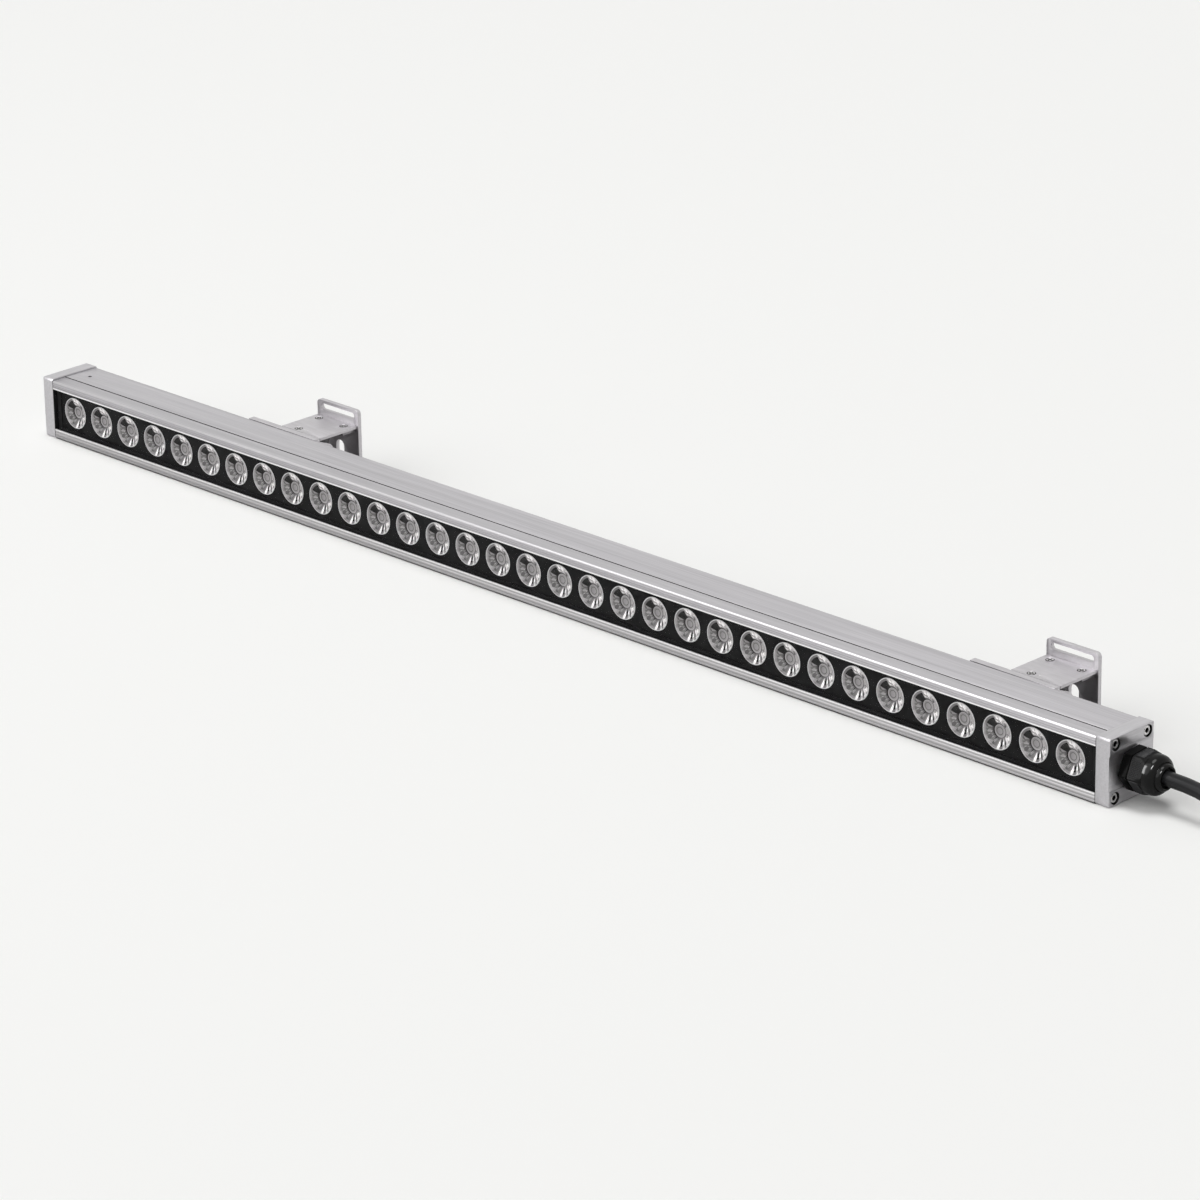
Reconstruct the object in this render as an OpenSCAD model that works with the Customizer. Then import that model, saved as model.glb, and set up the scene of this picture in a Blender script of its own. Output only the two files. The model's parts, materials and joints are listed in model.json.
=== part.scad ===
// Outdoor wall washer light: an aluminium bar with a row of lenses, on two
// sliding and tilting wall brackets, with a cable gland and a cable.
// Lengths are in millimetres. X runs along the bar, the lenses look to -Y, Z is up.
// The origin is the middle of the face that the bar rests on.

/* [Housing] */
// Length over both end caps
overall_l = 1000; // [800:10:1500]
// Depth of the end caps, front to back
cap_depth = 42.2; // [42:0.1:50]
// Height of the end caps
cap_h = 45.3; // [45:0.1:52]
// How far the caps stand above the profile and behind it
cap_proud = 1; // [0.5:0.1:2]
// Thickness of the top and bottom walls of the profile
wall_t = 1.8; // [1.4:0.1:2]
// Thickness of the back wall of the profile
back_wall_t = 2; // [1.6:0.1:2.4]
// Radius of the long outer corners of the profile
profile_corner_r = 1.2; // [0.6:0.1:1.6]
// Thickness of the front lips round the window
lip_t = 1; // [0.8:0.1:1.4]
// Height of the bezel below the window
bezel_h = 7.4; // [7:0.1:8]
// Height of the brow between the window and the top of the caps
brow_h = 7.4; // [7.4:0.1:8]
// Thickness of the inner web that carries the light board
web_t = 1.8; // [1.4:0.1:2.4]
// Distance from the front of the profile to the groove in its top
top_groove_y = 12.1; // [10:0.1:16]
// Width of the groove in the top
top_groove_w = 1.3; // [0.8:0.1:1.6]
// Depth of the groove in the top
top_groove_depth = 1.1; // [0.6:0.1:1.2]
// Width of the fine ribs' grooves on the bezel
rib_groove_w = 0.6; // [0.4:0.1:0.8]
// Depth of the fine ribs' grooves on the bezel
rib_groove_depth = 0.25; // [0.1:0.05:0.4]
// Opening of the T slot in the back
slot_open = 6.4; // [6:0.1:7]
// Width of the T slot behind its lips
slot_w = 11; // [10:0.1:12]
// Depth of the T slot behind its lips
slot_depth = 4.2; // [4:0.1:4.6]
// Wall round the T slot
slot_wall_t = 1.6; // [1.2:0.1:2]

/* [End caps] */
// Thickness of an end cap
cap_t = 10.5; // [9:0.1:13]
// Thickness of the gasket between a cap and the profile
gasket_t = 0.5; // [0.4:0.1:1]
// Radius of a cap's long corners
cap_corner_r = 2.2; // [1.4:0.1:2.6]
// Radius of a cap's outer edges
cap_edge_r = 1; // [0.5:0.1:1.4]
// Distance from the shallow band on a cap's outer face to the counterbores
band_gap = 2; // [1.5:0.1:2.5]
// How far the shallow band is below the middle of the cap
band_drop = 0.65; // [0.3:0.05:1]
// Depth of the shallow band
band_depth = 0.4; // [0.2:0.1:0.8]
// Distance between the cap screws, front to back
screw_span_y = 30; // [29:0.1:30.4]
// Distance from the window's edges up and down to the cap screws
screw_rise = 2.25; // [2.05:0.05:2.35]
// Diameter of a cap screw's thread
cap_screw_d = 3.5; // [3:0.1:3.6]
// Diameter of a cap screw's head
cap_head_d = 6.4; // [6:0.1:6.8]
// Height of a cap screw's head
cap_head_h = 3.6; // [3:0.1:4]
// Length of a cap screw under its head
cap_screw_l = 18; // [14:1:24]
// Width across the flats of a cap screw's socket
cap_socket_af = 2.9; // [2:0.1:3]
// Diameter of the counterbore for a cap screw's head
counterbore_d = 8; // [7.4:0.1:8.4]
// How deep a head sits below the cap's face
head_sink = 0.7; // [0.4:0.1:1]
// Wall of a screw port round its bore
port_wall_t = 1.45; // [1:0.05:1.5]

/* [Front] */
// Thickness of the front glass
glass_t = 2.4; // [2:0.1:2.6]
// How far the glass reaches behind the bezel
glass_overlap = 3.2; // [2.4:0.1:3.4]
// Thickness of the seal behind the glass
seal_t = 0.6; // [0.4:0.1:0.6]
// Width of the seal at the ends of the glass
seal_end_w = 4; // [3:0.5:6]
// Gap between two lenses
lens_gap = 6.26; // [4:0.01:17]
// Least distance from an end of the light to a lens centre
lens_end_margin = 30; // [26:0.5:60]
// How far the row of lenses is moved away from the cable end
lens_row_shift = 1.75; // [0:0.05:2]
// Diameter of a lens, as a share of the window's height
lens_d_share = 0.7541; // [0.66:0.0001:0.76]
// Height of a lens, front to back
lens_h = 10.5; // [9:0.1:11]
// Thickness of a lens flange
lens_flange_t = 1.2; // [0.8:0.1:1.6]
// Width of a lens flange
lens_flange_w = 0.5; // [0.3:0.1:0.8]
// Diameter of a lens at its foot
lens_foot_d = 9; // [8:0.1:11]
// Diameter of the hollow in the front of a lens, as a share of the lens
lens_hollow_share = 0.4087; // [0.35:0.0001:0.45]
// Diameter of that hollow at its bottom, as a share of the lens
lens_hollow_floor_share = 0.3391; // [0.26:0.0001:0.34]
// Depth of the hollow in the front of a lens
lens_hollow_depth = 3.6; // [2.5:0.1:4]
// Diameter of the pocket over the light source
lens_pocket_d = 6; // [5:0.1:7]
// Depth of the pocket over the light source
lens_pocket_depth = 3.4; // [2.8:0.1:3.8]
// Thickness of the black lens panel
panel_t = 1.5; // [1:0.1:2]
// Gap between a lens and its hole in the panel
lens_clearance = 0.12; // [0.05:0.01:0.3]
// Diameter of a post behind the panel
post_d = 4; // [3:0.1:4.4]

/* [Boards] */
// Thickness of the light board
board_t = 1.6; // [1:0.1:1.6]
// How much lower than the window's edges the light board ends
board_margin = 3.25; // [2.25:0.05:6]
// How far the light board runs past the end lenses
board_end = 0.5; // [0:0.1:2]
// Thickness of the thermal pad behind the light board
pad_t = 0.5; // [0.3:0.1:0.8]
// Width of a light source
led_w = 3.4; // [2.8:0.1:3.6]
// Thickness of a light source's base
led_t = 0.7; // [0.5:0.1:1]
// Diameter of a light source's dome
led_dome_d = 2.6; // [2:0.1:2.8]
// Diameter of a board screw's thread
board_screw_d = 3; // [2.5:0.1:3]
// Diameter of a board screw's head
board_head_d = 5.4; // [5:0.1:6]
// Height of a board screw's head
board_head_h = 1.6; // [1.2:0.1:2]
// Length of the driver board
driver_l = 190; // [120:5:240]
// Width of the driver board
driver_w = 12; // [10:0.5:12]
// Thickness of the driver board
driver_t = 1.6; // [1:0.1:2]
// Height of the driver board's feet
driver_foot_h = 3; // [2:0.1:4]
// Distance from the driver board to the cable's end cap
driver_gap = 45; // [30:1:80]
// Diameter of the small set screw in the top wall
set_screw_d = 3; // [2:0.1:4]
// Distance of the set screw from the left end of the light
set_screw_x = 23.6; // [18:0.1:40]
// Distance of the set screw from the middle of the light, towards the back
set_screw_y = 3.7; // [2:0.1:6]

/* [Gland and cable] */
// How far the gland's axis is below the middle of the cap
gland_drop = 1.15; // [0:0.05:1.65]
// Width across the flats of the gland
gland_af = 24.6; // [22:0.1:26]
// How far the gland is turned about its axis, in degrees
gland_turn = 6; // [0:1:30]
// Diameter of the gland's thread in the cap
gland_thread_d = 20; // [18:0.1:20]
// Diameter of the sealing ring under the gland
ring_d = 21.8; // [21:0.1:21.8]
// Thickness of the sealing ring under the gland
ring_t = 0.8; // [0.5:0.1:1.2]
// Length of the gland's fixed hexagon
gland_hex_l = 6; // [5:0.1:8]
// Gap between the fixed hexagon and the nut
gland_gap = 0.7; // [0.4:0.1:1]
// Length of the nut's hexagon
gland_nut_l = 12; // [10:0.1:14]
// Diameter of the nut's round nose
gland_nose_d = 26; // [25.6:0.1:27]
// Length of the nut's round nose
gland_nose_l = 9; // [8:0.1:11]
// Diameter of the neck that carries the nut
gland_neck_d = 17; // [15:0.1:18]
// Diameter of the mouth of the nut
gland_mouth_d = 13; // [12:0.1:14]
// Diameter of the cable
cable_d = 9.5; // [8:0.1:9.6]
// Diameter of one insulated core
core_d = 2.1; // [1.6:0.1:2.4]
// Length of the bare cores at the far end
core_l = 28; // [20:1:35]
// Diameter of a core's end sleeve
ferrule_d = 1.4; // [1:0.1:1.6]
// Length of a core's end sleeve
ferrule_l = 8; // [6:1:12]

/* [Brackets] */
// Distance from the left end of the light to the middle of the left back plate
bracket_left_end = 212.5; // [80:0.5:300]
// Distance from the right end of the light to the middle of the right back plate
bracket_right_end = 112.5; // [80:0.5:300]
// Gap between the sliding back plate and the profile
slide_clearance = 0.3; // [0.3:0.05:0.5]
// Length of a back plate
plate_l = 69; // [66:0.5:80]
// Thickness of a back plate
plate_t = 5; // [4:0.1:6]
// Height of a back plate
plate_h = 30.3; // [28:0.1:34]
// Length of the back plate beside the arm, where the clamp screws are
clamp_zone_l = 29; // [27:0.5:31]
// Thickness of the arm
arm_t = 2; // [1.6:0.1:2.2]
// Distance from the profile's back to the wall plate
arm_reach = 40.8; // [38:0.1:60]
// How far the arm's top is below the profile's top
arm_drop = 0.1; // [0:0.1:0.6]
// Gap between the arm's front edge and the back plate
arm_gap = 0.5; // [0.4:0.1:1]
// How far the wall plate stands out past each side of the arm
wall_plate_side = 1; // [0.5:0.1:10]
// Thickness of the wall plate
wall_plate_t = 3.2; // [2.5:0.1:4]
// Height of the wall plate above the arm
wall_rise = 11.2; // [10:0.1:16]
// Height of the wall plate's lower edge above the rest face
wall_bottom_z = 7.4; // [7:0.1:8]
// Radius of the wall plate's corners
wall_plate_corner_r = 3; // [2:0.1:4]
// Distance from the long slot to the wall plate's sides
wall_slot_side = 3.5; // [3:0.5:8]
// Width of the long slot in the wall plate
wall_slot_w = 4.8; // [4.6:0.1:5]
// Height of the long slot's middle above the arm
wall_slot_rise = 6.4; // [6.2:0.1:7]
// Width of the upright oval hole in the wall plate
oval_w = 8.5; // [7:0.1:9]
// Height of the upright oval hole
oval_h = 15; // [12:0.1:16]
// Distance from the wall plate's lower edge up to the oval's middle
oval_rise = 14.8; // [12:0.1:16]
// How far the oval is beside the wall plate's middle
oval_shift = 1.5; // [0:0.1:3]
// Thickness of the wall plate's foot under the arm
foot_t = 2.6; // [2:0.1:3]
// Length of the wall plate's foot under the arm
foot_l = 12; // [10:0.1:14]
// How much narrower than the wall plate the foot is on each side
foot_side = 3; // [2:0.5:4]
// Radius of the fillet between the foot and the wall plate
foot_fillet_r = 2; // [1:0.1:3]
// Thickness of a hinge ear
ear_t = 4; // [3:0.1:5]
// Outer radius of a hinge ear
ear_r = 8; // [7:0.1:8.5]
// Distance from the arm's top down to the hinge axis
pivot_fall = 13.2; // [13:0.1:14]
// Distance from the hinge axis down to the middle of the T slot
slot_fall = 8.85; // [8:0.05:9]
// Distance from the back plate to the hinge axis
pivot_reach = 5.1; // [5:0.1:6]
// Outer radius of the hinge block round the bolt
hub_r = 4.6; // [4:0.1:4.6]
// Gap between the hinge block and each ear
hinge_clearance = 0.3; // [0.3:0.05:0.6]
// Depth of the hinge block under the arm
block_depth = 13; // [11:0.1:15]
// Diameter of the hinge bolt
pivot_bolt_d = 5; // [4:0.1:5]
// Radial running gap round the hinge bolt
pivot_fit = 0.05; // [0.02:0.01:0.08]
// Diameter of the hinge bolt's head
pivot_head_d = 8.5; // [8:0.1:9]
// Height of the hinge bolt's head
pivot_head_h = 4; // [3:0.1:5]
// Thickness of a hinge washer
washer_t = 1; // [0.8:0.1:1.6]
// Diameter of a hinge washer
washer_d = 10; // [9:0.1:10.4]
// Height of the hinge bolt's lock nut
nut_h = 5; // [4:0.1:6]
// Width across the flats of the lock nut
nut_af = 8; // [8:0.1:9]
// Diameter of a clamp screw's thread
clamp_screw_d = 5; // [4:0.1:5]
// Diameter of a clamp screw's head
clamp_head_d = 9; // [8:0.1:9.6]
// Height of a clamp screw's head
clamp_head_h = 2.8; // [2:0.1:3]
// Distance between the two clamp screws of a bracket
clamp_pitch = 13; // [12.5:0.1:14]
// Distance from the back plate's end to the first clamp screw
clamp_end = 8; // [6:0.1:8.5]
// Length of a slot nut along the bar
slot_nut_l = 11; // [9:0.1:12]
// Thickness of a slot nut
slot_nut_t = 3.6; // [3:0.1:3.7]
// Diameter of an arm screw's thread
arm_screw_d = 3.2; // [3:0.1:3.5]
// Diameter of an arm screw's countersunk head
arm_head_d = 6.2; // [5.6:0.1:6.6]
// Height of an arm screw's countersunk head
arm_head_h = 1.5; // [1.2:0.1:1.6]
// Length of a rear arm screw
rear_screw_l = 4.6; // [4:0.1:4.6]
// Length of the front arm screw
front_screw_l = 6.6; // [5:0.1:7]
// Distance of the rear arm screws from the arm's sides
rear_screw_side = 7.2; // [6:0.1:9]
// Distance of the rear arm screws from the wall plate
rear_screw_reach = 6.2; // [5:0.1:8]
// Distance of the front arm screw from the arm's left side
front_screw_side = 13; // [10:0.1:16]
// Distance of the front arm screw from the arm's front edge
front_screw_reach = 4.2; // [4:0.1:6]
// Diameter of the locating pin beside the front arm screw
pin_d = 1.6; // [1.2:0.1:2]
// Length of the locating pin
pin_l = 5; // [4:0.1:6]
// Distance of the locating pin from the arm's left side
pin_side = 20; // [18:0.1:26]

/* [Hidden] */

$fn = 48;
// Overrun of every cut past the face that it opens
cut = 1;
// Gap that keeps touching pieces of one body from overlapping
fit_gap = 0.05;
// Gap that lets a piece drop into its seat
seat_gap = 0.2;

// Colours
aluminium = [0.75, 0.75, 0.77];
steel = [0.62, 0.62, 0.64];
black = [0.07, 0.07, 0.08];
rubber = [0.11, 0.11, 0.12];
clear = [0.86, 0.89, 0.92, 0.5];
board_green = [0.12, 0.35, 0.2];
board_white = [0.9, 0.9, 0.88];

// Main planes of the housing
front_y = -cap_depth / 2;
cap_back_y = cap_depth / 2;
back_y = cap_back_y - cap_proud;
top_z = cap_h - cap_proud;
half_l = overall_l / 2;
profile_half_l = half_l - cap_t - gasket_t;
window_h = cap_h - bezel_h - brow_h;
window_mid_z = bezel_h + window_h / 2;
window_top_z = bezel_h + window_h;

// Planes of the stack behind the window, front to back
glass_front_y = front_y + lip_t;
glass_back_y = glass_front_y + glass_t;
seal_back_y = glass_back_y + seal_t;
panel_front_y = seal_back_y + fit_gap;
panel_back_y = panel_front_y + panel_t;
lens_front_y = panel_front_y - fit_gap;
board_front_y = lens_front_y + lens_h;
board_back_y = board_front_y + board_t;
pad_back_y = board_back_y + pad_t;
web_back_y = pad_back_y + web_t;

// Screw ports
port_bore_d = cap_screw_d + seat_gap;
port_r = port_bore_d / 2 + port_wall_t;
screw_span_z = window_h + 2 * screw_rise;
port_places = [
    for (side = [-1, 1])
        for (level = [-1, 1])
            [side * screw_span_y / 2, window_mid_z + level * screw_span_z / 2]
];

// Shallow band
band_h = screw_span_z - counterbore_d - 2 * band_gap;
band_z = cap_h / 2 - band_drop;

// T slot
slot_z = top_z - arm_drop - pivot_fall - slot_fall;
slot_lip_y = back_y - back_wall_t;
slot_floor_y = slot_lip_y - slot_depth;
slot_block_y = slot_floor_y - slot_wall_t;

// Glass, seal and panel heights
glass_half_h = window_h / 2 + glass_overlap;
groove_half_h = glass_half_h + seat_gap;
seal_gap_half_h = screw_span_z / 2 - port_r - seat_gap;
panel_half_h = seal_gap_half_h;

// Row of lenses
lens_d = window_h * lens_d_share;
lens_hollow_d = lens_d * lens_hollow_share;
lens_hollow_floor_d = lens_d * lens_hollow_floor_share;
lens_pitch = lens_d + lens_gap;
lens_count = floor((overall_l - 2 * lens_end_margin) / lens_pitch) + 1;
lens_row_l = (lens_count - 1) * lens_pitch;
function lens_x(i) = i * lens_pitch - lens_row_l / 2 - lens_row_shift;
post_step = 4;
screw_first = 2;

// Light board
board_h = window_h - 2 * board_margin;

// Driver
driver_x1 = profile_half_l - driver_gap;
driver_x0 = driver_x1 - driver_l;
driver_y0 = web_back_y + seat_gap;
driver_z0 = wall_t + driver_foot_h;
driver_top_z = driver_z0 + driver_t;
// Sizes of the parts on the driver board, as shares of its width
terminal_l_share = 0.8;
terminal_h_share = 0.75;
transformer_h_share = 1;
capacitor_d_share = 0.7;
capacitor_h_share = 1.3;
// Places along the driver board, as shares of its length
foot_shares = [0.05, 0.5, 0.95];
transformer_shares = [0.4, 0.5];
capacitor_shares = [0.12, 0.22, 0.68];
terminal_l = driver_w * terminal_l_share;
terminal_h = driver_w * terminal_h_share;
// Places of the three leads round the cable's axis, as shares of a core's diameter
lead_start_shares = [[0.3, 1], [0.3, -1], [1.4, 0]];
// Places of the leads across the driver board, as shares of its width
lead_stop_shares = [0.25, 0.5, 0.75];
// Place of the set screw along the bar
set_x = set_screw_x - half_l;

// Gland
gland_z = cap_h / 2 - gland_drop;
gland_hex_x = half_l + ring_t;
gland_nut_x = gland_hex_x + gland_hex_l + gland_gap;
gland_nose_x = gland_nut_x + gland_nut_l;
gland_end_x = gland_nose_x + gland_nose_l;
neck_end_x = gland_nut_x + gland_nut_l / 2;
gland_hex_r = gland_af / 2 / cos(30);
gland_nose_r = gland_nose_d / 2;
sleeve_x0 = gland_hex_x + gland_hex_l / 2;
sleeve_x1 = gland_end_x - gland_nose_l / 3;
sleeve_d = gland_mouth_d;
cable_start_x = half_l - cap_t + gland_hex_l / 4;

// Brackets
bracket_left_x = bracket_left_end - half_l;
bracket_right_x = half_l - bracket_right_end;
plate_y0 = back_y + slide_clearance;
plate_y1 = plate_y0 + plate_t;
plate_z1 = top_z;
plate_z0 = plate_z1 - plate_h;
arm_w = plate_l - clamp_zone_l;
arm_x1 = plate_l / 2;
arm_x0 = arm_x1 - arm_w;
arm_mid_x = (arm_x0 + arm_x1) / 2;
arm_top_z = top_z - arm_drop;
arm_bottom_z = arm_top_z - arm_t;
arm_y0 = plate_y1 + arm_gap;
wall_y0 = back_y + arm_reach;
wall_y1 = wall_y0 + wall_plate_t;
wall_top_z = arm_top_z + wall_rise;
wall_plate_w = arm_w + 2 * wall_plate_side;
wall_slot_l = wall_plate_w - 2 * wall_slot_side;
foot_w = wall_plate_w - 2 * foot_side;
oval_z = wall_bottom_z + oval_rise;
pivot_y = plate_y1 + pivot_reach;
pivot_z = arm_top_z - pivot_fall;
ear_corner_z = arm_bottom_z - arm_gap;
ear_x0 = arm_x0;
ear_x1 = arm_x1 - ear_t;
block_x0 = arm_x0 + ear_t + hinge_clearance;
block_x1 = ear_x1 - hinge_clearance;
foot_y0 = wall_y0 - foot_l;
foot_bottom_z = arm_bottom_z - foot_t;
clamp_places = [for (i = [0, 1]) clamp_end - plate_l / 2 + i * clamp_pitch];
slot_nut_y0 = slot_lip_y - slide_clearance - slot_nut_t;
rear_screw_y = wall_y0 - rear_screw_reach;
front_screw_y = arm_y0 + front_screw_reach;
pin_x = arm_x0 + pin_side;

// Cable route from the gland to the coil: places past the light's end, and
// how much of the way down to the floor the cable has come there
cable_r = cable_d / 2;
route_sides = 10;
route_reach = [-9, 10, 30, 42, 52, 62, 72, 82, 92, 102, 112, 122];
route_fall_shares = [0, 0, 0, 0.012, 0.066, 0.198, 0.413, 0.659, 0.856, 0.964, 1, 1];
route_low_z = 4.8;
cable_route = [
    for (i = [0 : len(route_reach) - 1])
        [half_l + route_reach[i], 0, gland_z + (route_low_z - gland_z) * route_fall_shares[i]]
];
route_end = cable_route[len(cable_route) - 1];

// Coil: it winds in on the floor, climbs while it reverses, and winds out on top
coil_turns = 2.5;
coil_rings = 24;
coil_sides = 6;
coil_r = 58.5;
coil_side_gap = 0.6;
coil_layer_gap = 0.6;
coil_pitch = cable_d + coil_side_gap;
coil_rise = cable_d + coil_layer_gap;
coil_centre = [route_end[0] + cable_d, route_end[1] + coil_r, route_end[2]];

// Smooth step from 0 to 1
function ease(t) = t <= 0 ? 0 : t >= 1 ? 1 : t * t * (3 - 2 * t);

// Place on the coil after a number of turns
function coil_radius(turn) = coil_r - coil_pitch * min(turn, coil_turns - turn);
function coil_place(turn) =
    let (angle = turn * 360 - 90)
    let (climb = ease((turn - coil_turns / 2 + 0.25) / 0.5))
    coil_centre + [
        coil_radius(turn) * cos(angle),
        coil_radius(turn) * sin(angle),
        coil_rise * climb
    ];
coil_ring_count = coil_turns * coil_rings;
coil_curve = [for (i = [0 : coil_ring_count]) coil_place(i / coil_rings)];
coil_end_angle = coil_turns * 360;
coil_end_way = [cos(coil_end_angle), sin(coil_end_angle), 0];
coil_last = coil_curve[coil_ring_count];
coil_tail = coil_last + cable_d * coil_end_way;
coil_path = concat([route_end], coil_curve, [coil_tail]);

// Least gap between two turns of the coil, measured on its points
coil_gap = min([
    for (i = [0 : coil_ring_count])
        for (j = [i + coil_rings / 2 : 1 : coil_ring_count])
            norm(coil_curve[i] - coil_curve[j])
]) - cable_d;
echo(coil_gap = coil_gap);

// Length of a line through points
function path_l(p, i = 1) = i == len(p) ? 0 : norm(p[i] - p[i - 1]) + path_l(p, i + 1);
echo(cable_length = path_l(cable_route) + path_l(coil_path) + core_l);

// Tube swept along points: each ring stands square to the path
function unit(v) = v / norm(v);
function way(p, i) =
    i == 0 ? unit(p[1] - p[0])
    : i == len(p) - 1 ? unit(p[i] - p[i - 1])
    : unit(unit(p[i + 1] - p[i]) + unit(p[i] - p[i - 1]));
function side_way(w) = unit(cross([0, 0, 1], w));
function ring(c, w, r, sides) = [
    for (k = [0 : sides - 1])
        let (s = side_way(w))
        let (u = cross(w, s))
        c + r * cos(k * 360 / sides) * s + r * sin(k * 360 / sides) * u
];

module tube(p, r, sides) {
    n = len(p);
    points = [for (i = [0 : n - 1]) each ring(p[i], way(p, i), r, sides)];
    sides_faces = [
        for (i = [0 : n - 2])
            for (k = [0 : sides - 1])
                let (a = i * sides + k)
                let (b = i * sides + (k + 1) % sides)
                each [[a, a + sides, b], [b, a + sides, b + sides]]
    ];
    start_faces = [for (k = [1 : sides - 2]) [0, k, k + 1]];
    end_first = (n - 1) * sides;
    end_faces = [for (k = [1 : sides - 2]) [end_first, end_first + k + 1, end_first + k]];
    polyhedron(points, concat(sides_faces, start_faces, end_faces));
}

// Outline in Y and Z drawn out along X
module along_x(x0, x1) {
    translate([x0, 0, 0])
        rotate([90, 0, 90])
            linear_extrude(height = x1 - x0)
                children();
}

// Outline in X and Z drawn out along Y
module along_y(y0, y1) {
    translate([0, y1, 0])
        rotate([90, 0, 0])
            linear_extrude(height = y1 - y0)
                children();
}

// Round bar from one point to another
module rod(a, b, d) {
    v = b - a;
    translate(a)
        rotate([0, acos(v[2] / norm(v)), atan2(v[1], v[0])])
            cylinder(d = d, h = norm(v));
}

// Round bar along X, and along Y
module rod_x(x0, x1, y, z, d) {
    translate([x0, y, z]) rotate([0, 90, 0]) cylinder(d = d, h = x1 - x0);
}
module rod_y(y0, y1, x, z, d) {
    translate([x, y0, z]) rotate([-90, 0, 0]) cylinder(d = d, h = y1 - y0);
}
module rod_z(z0, z1, x, y, d) {
    translate([x, y, z0]) cylinder(d = d, h = z1 - z0);
}

// Rectangle between two corners
module box_2d(a, b) {
    translate(a) square(b - a);
}
module round_box_2d(a, b, r) {
    box_2d([a[0] + r, a[1]], [b[0] - r, b[1]]);
    box_2d([a[0], a[1] + r], [b[0], b[1] - r]);
    for (u = [a[0] + r, b[0] - r])
        for (v = [a[1] + r, b[1] - r])
            translate([u, v]) circle(r);
}
module box(a, b) {
    translate(a) cube(b - a);
}

// Cross section of the extruded housing
module profile_2d() {
    difference() {
        union() {
            difference() {
                round_box_2d([front_y, 0], [back_y, top_z], profile_corner_r);
                box_2d([seal_back_y, wall_t], [back_y - back_wall_t, top_z - wall_t]);
            }
            box_2d([pad_back_y, wall_t / 2], [web_back_y, top_z - wall_t / 2]);
            slot_wall_2d();
            for (p = port_places) port_2d(p);
        }
        box_2d([front_y - cut, bezel_h], [front_y + lip_t + cut, window_top_z]);
        box_2d([glass_front_y, window_mid_z - groove_half_h], [seal_back_y, window_mid_z + groove_half_h]);
        slot_2d();
        for (p = port_places) translate(p) circle(d = port_bore_d);
        top_groove_2d();
        rib_grooves_2d();
    }
}
module port_2d(p) {
    wall_side = p[1] > window_mid_z ? top_z - wall_t / 2 : wall_t / 2;
    translate(p) circle(port_r);
    box_2d(
        [p[0] - port_r / 2, min(p[1], wall_side)],
        [p[0] + port_r / 2, max(p[1], wall_side)]
    );
}
module slot_wall_2d() {
    box_2d(
        [slot_block_y, slot_z - slot_w / 2 - slot_wall_t],
        [back_y - back_wall_t / 2, slot_z + slot_w / 2 + slot_wall_t]
    );
}
module slot_2d() {
    box_2d([slot_floor_y, slot_z - slot_w / 2], [slot_lip_y, slot_z + slot_w / 2]);
    box_2d([slot_lip_y - cut, slot_z - slot_open / 2], [back_y + cut, slot_z + slot_open / 2]);
}
module top_groove_2d() {
    middle_y = front_y + top_groove_y;
    box_2d(
        [middle_y - top_groove_w / 2, top_z - top_groove_depth],
        [middle_y + top_groove_w / 2, top_z + cut]
    );
}
module rib_grooves_2d() {
    for (share = [1, 2]) {
        low_z = bezel_h * share / 3;
        high_z = window_top_z + (top_z - window_top_z) * share / 3;
        for (z = [low_z, high_z])
            box_2d(
                [front_y - cut, z - rib_groove_w / 2],
                [front_y + rib_groove_depth, z + rib_groove_w / 2]
            );
    }
}

module housing() {
    color(aluminium)
        difference() {
            along_x(-profile_half_l, profile_half_l) profile_2d();
            rod_z(top_z - wall_t - cut, top_z + cut, set_x, set_screw_y, set_screw_d + fit_gap);
            board_holes(pad_back_y - pad_t, web_back_y + cut, board_screw_d + fit_gap);
        }
}

// End cap at the positive end; the other one is its mirror image
module cap_body() {
    inner_x = half_l - cap_t;
    intersection() {
        along_x(inner_x, half_l)
            round_box_2d([front_y, 0], [cap_back_y, cap_h], cap_corner_r);
        cap_edges_y();
        cap_edges_z();
    }
}
module cap_edges_y() {
    along_y(front_y - cut, cap_back_y + cut)
        round_box_2d([half_l - 2 * cap_t, 0], [half_l, cap_h], cap_edge_r);
}
module cap_edges_z() {
    linear_extrude(height = cap_h)
        round_box_2d([half_l - 2 * cap_t, front_y], [half_l, cap_back_y], cap_edge_r);
}
module cap_band() {
    box(
        [half_l - band_depth, front_y - cut, band_z - band_h / 2],
        [half_l + cut, cap_back_y + cut, band_z + band_h / 2]
    );
}
module cap_screw_holes() {
    for (p = port_places) {
        rod_x(half_l - cap_t - cut, half_l + cut, p[0], p[1], cap_screw_d + seat_gap);
        rod_x(half_l - cap_head_h - head_sink, half_l + cut, p[0], p[1], counterbore_d);
    }
}
module cap() {
    difference() {
        cap_body();
        cap_band();
        cap_screw_holes();
        children();
    }
}
module end_cap_right() {
    color(aluminium)
        cap() {
            rod_x(half_l - cap_t - cut, half_l + cut, 0, gland_z, gland_thread_d);
            rod_x(half_l - band_depth, half_l + cut, 0, gland_z, ring_d + seat_gap);
        }
}
module end_cap_left() {
    color(aluminium)
        mirror([1, 0, 0])
            cap();
}

module gasket() {
    x0 = profile_half_l;
    difference() {
        along_x(x0, x0 + gasket_t)
            round_box_2d(
                [front_y + seat_gap, seat_gap],
                [back_y - seat_gap, top_z - seat_gap],
                profile_corner_r
            );
        for (p = port_places)
            rod_x(x0 - cut, x0 + gasket_t + cut, p[0], p[1], cap_screw_d + seat_gap);
        children();
    }
}
module gasket_right() {
    color(rubber)
        gasket()
            rod_x(profile_half_l - cut, half_l, 0, gland_z, cable_d + seat_gap);
}
module gasket_left() {
    color(rubber)
        mirror([1, 0, 0])
            gasket();
}

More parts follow.
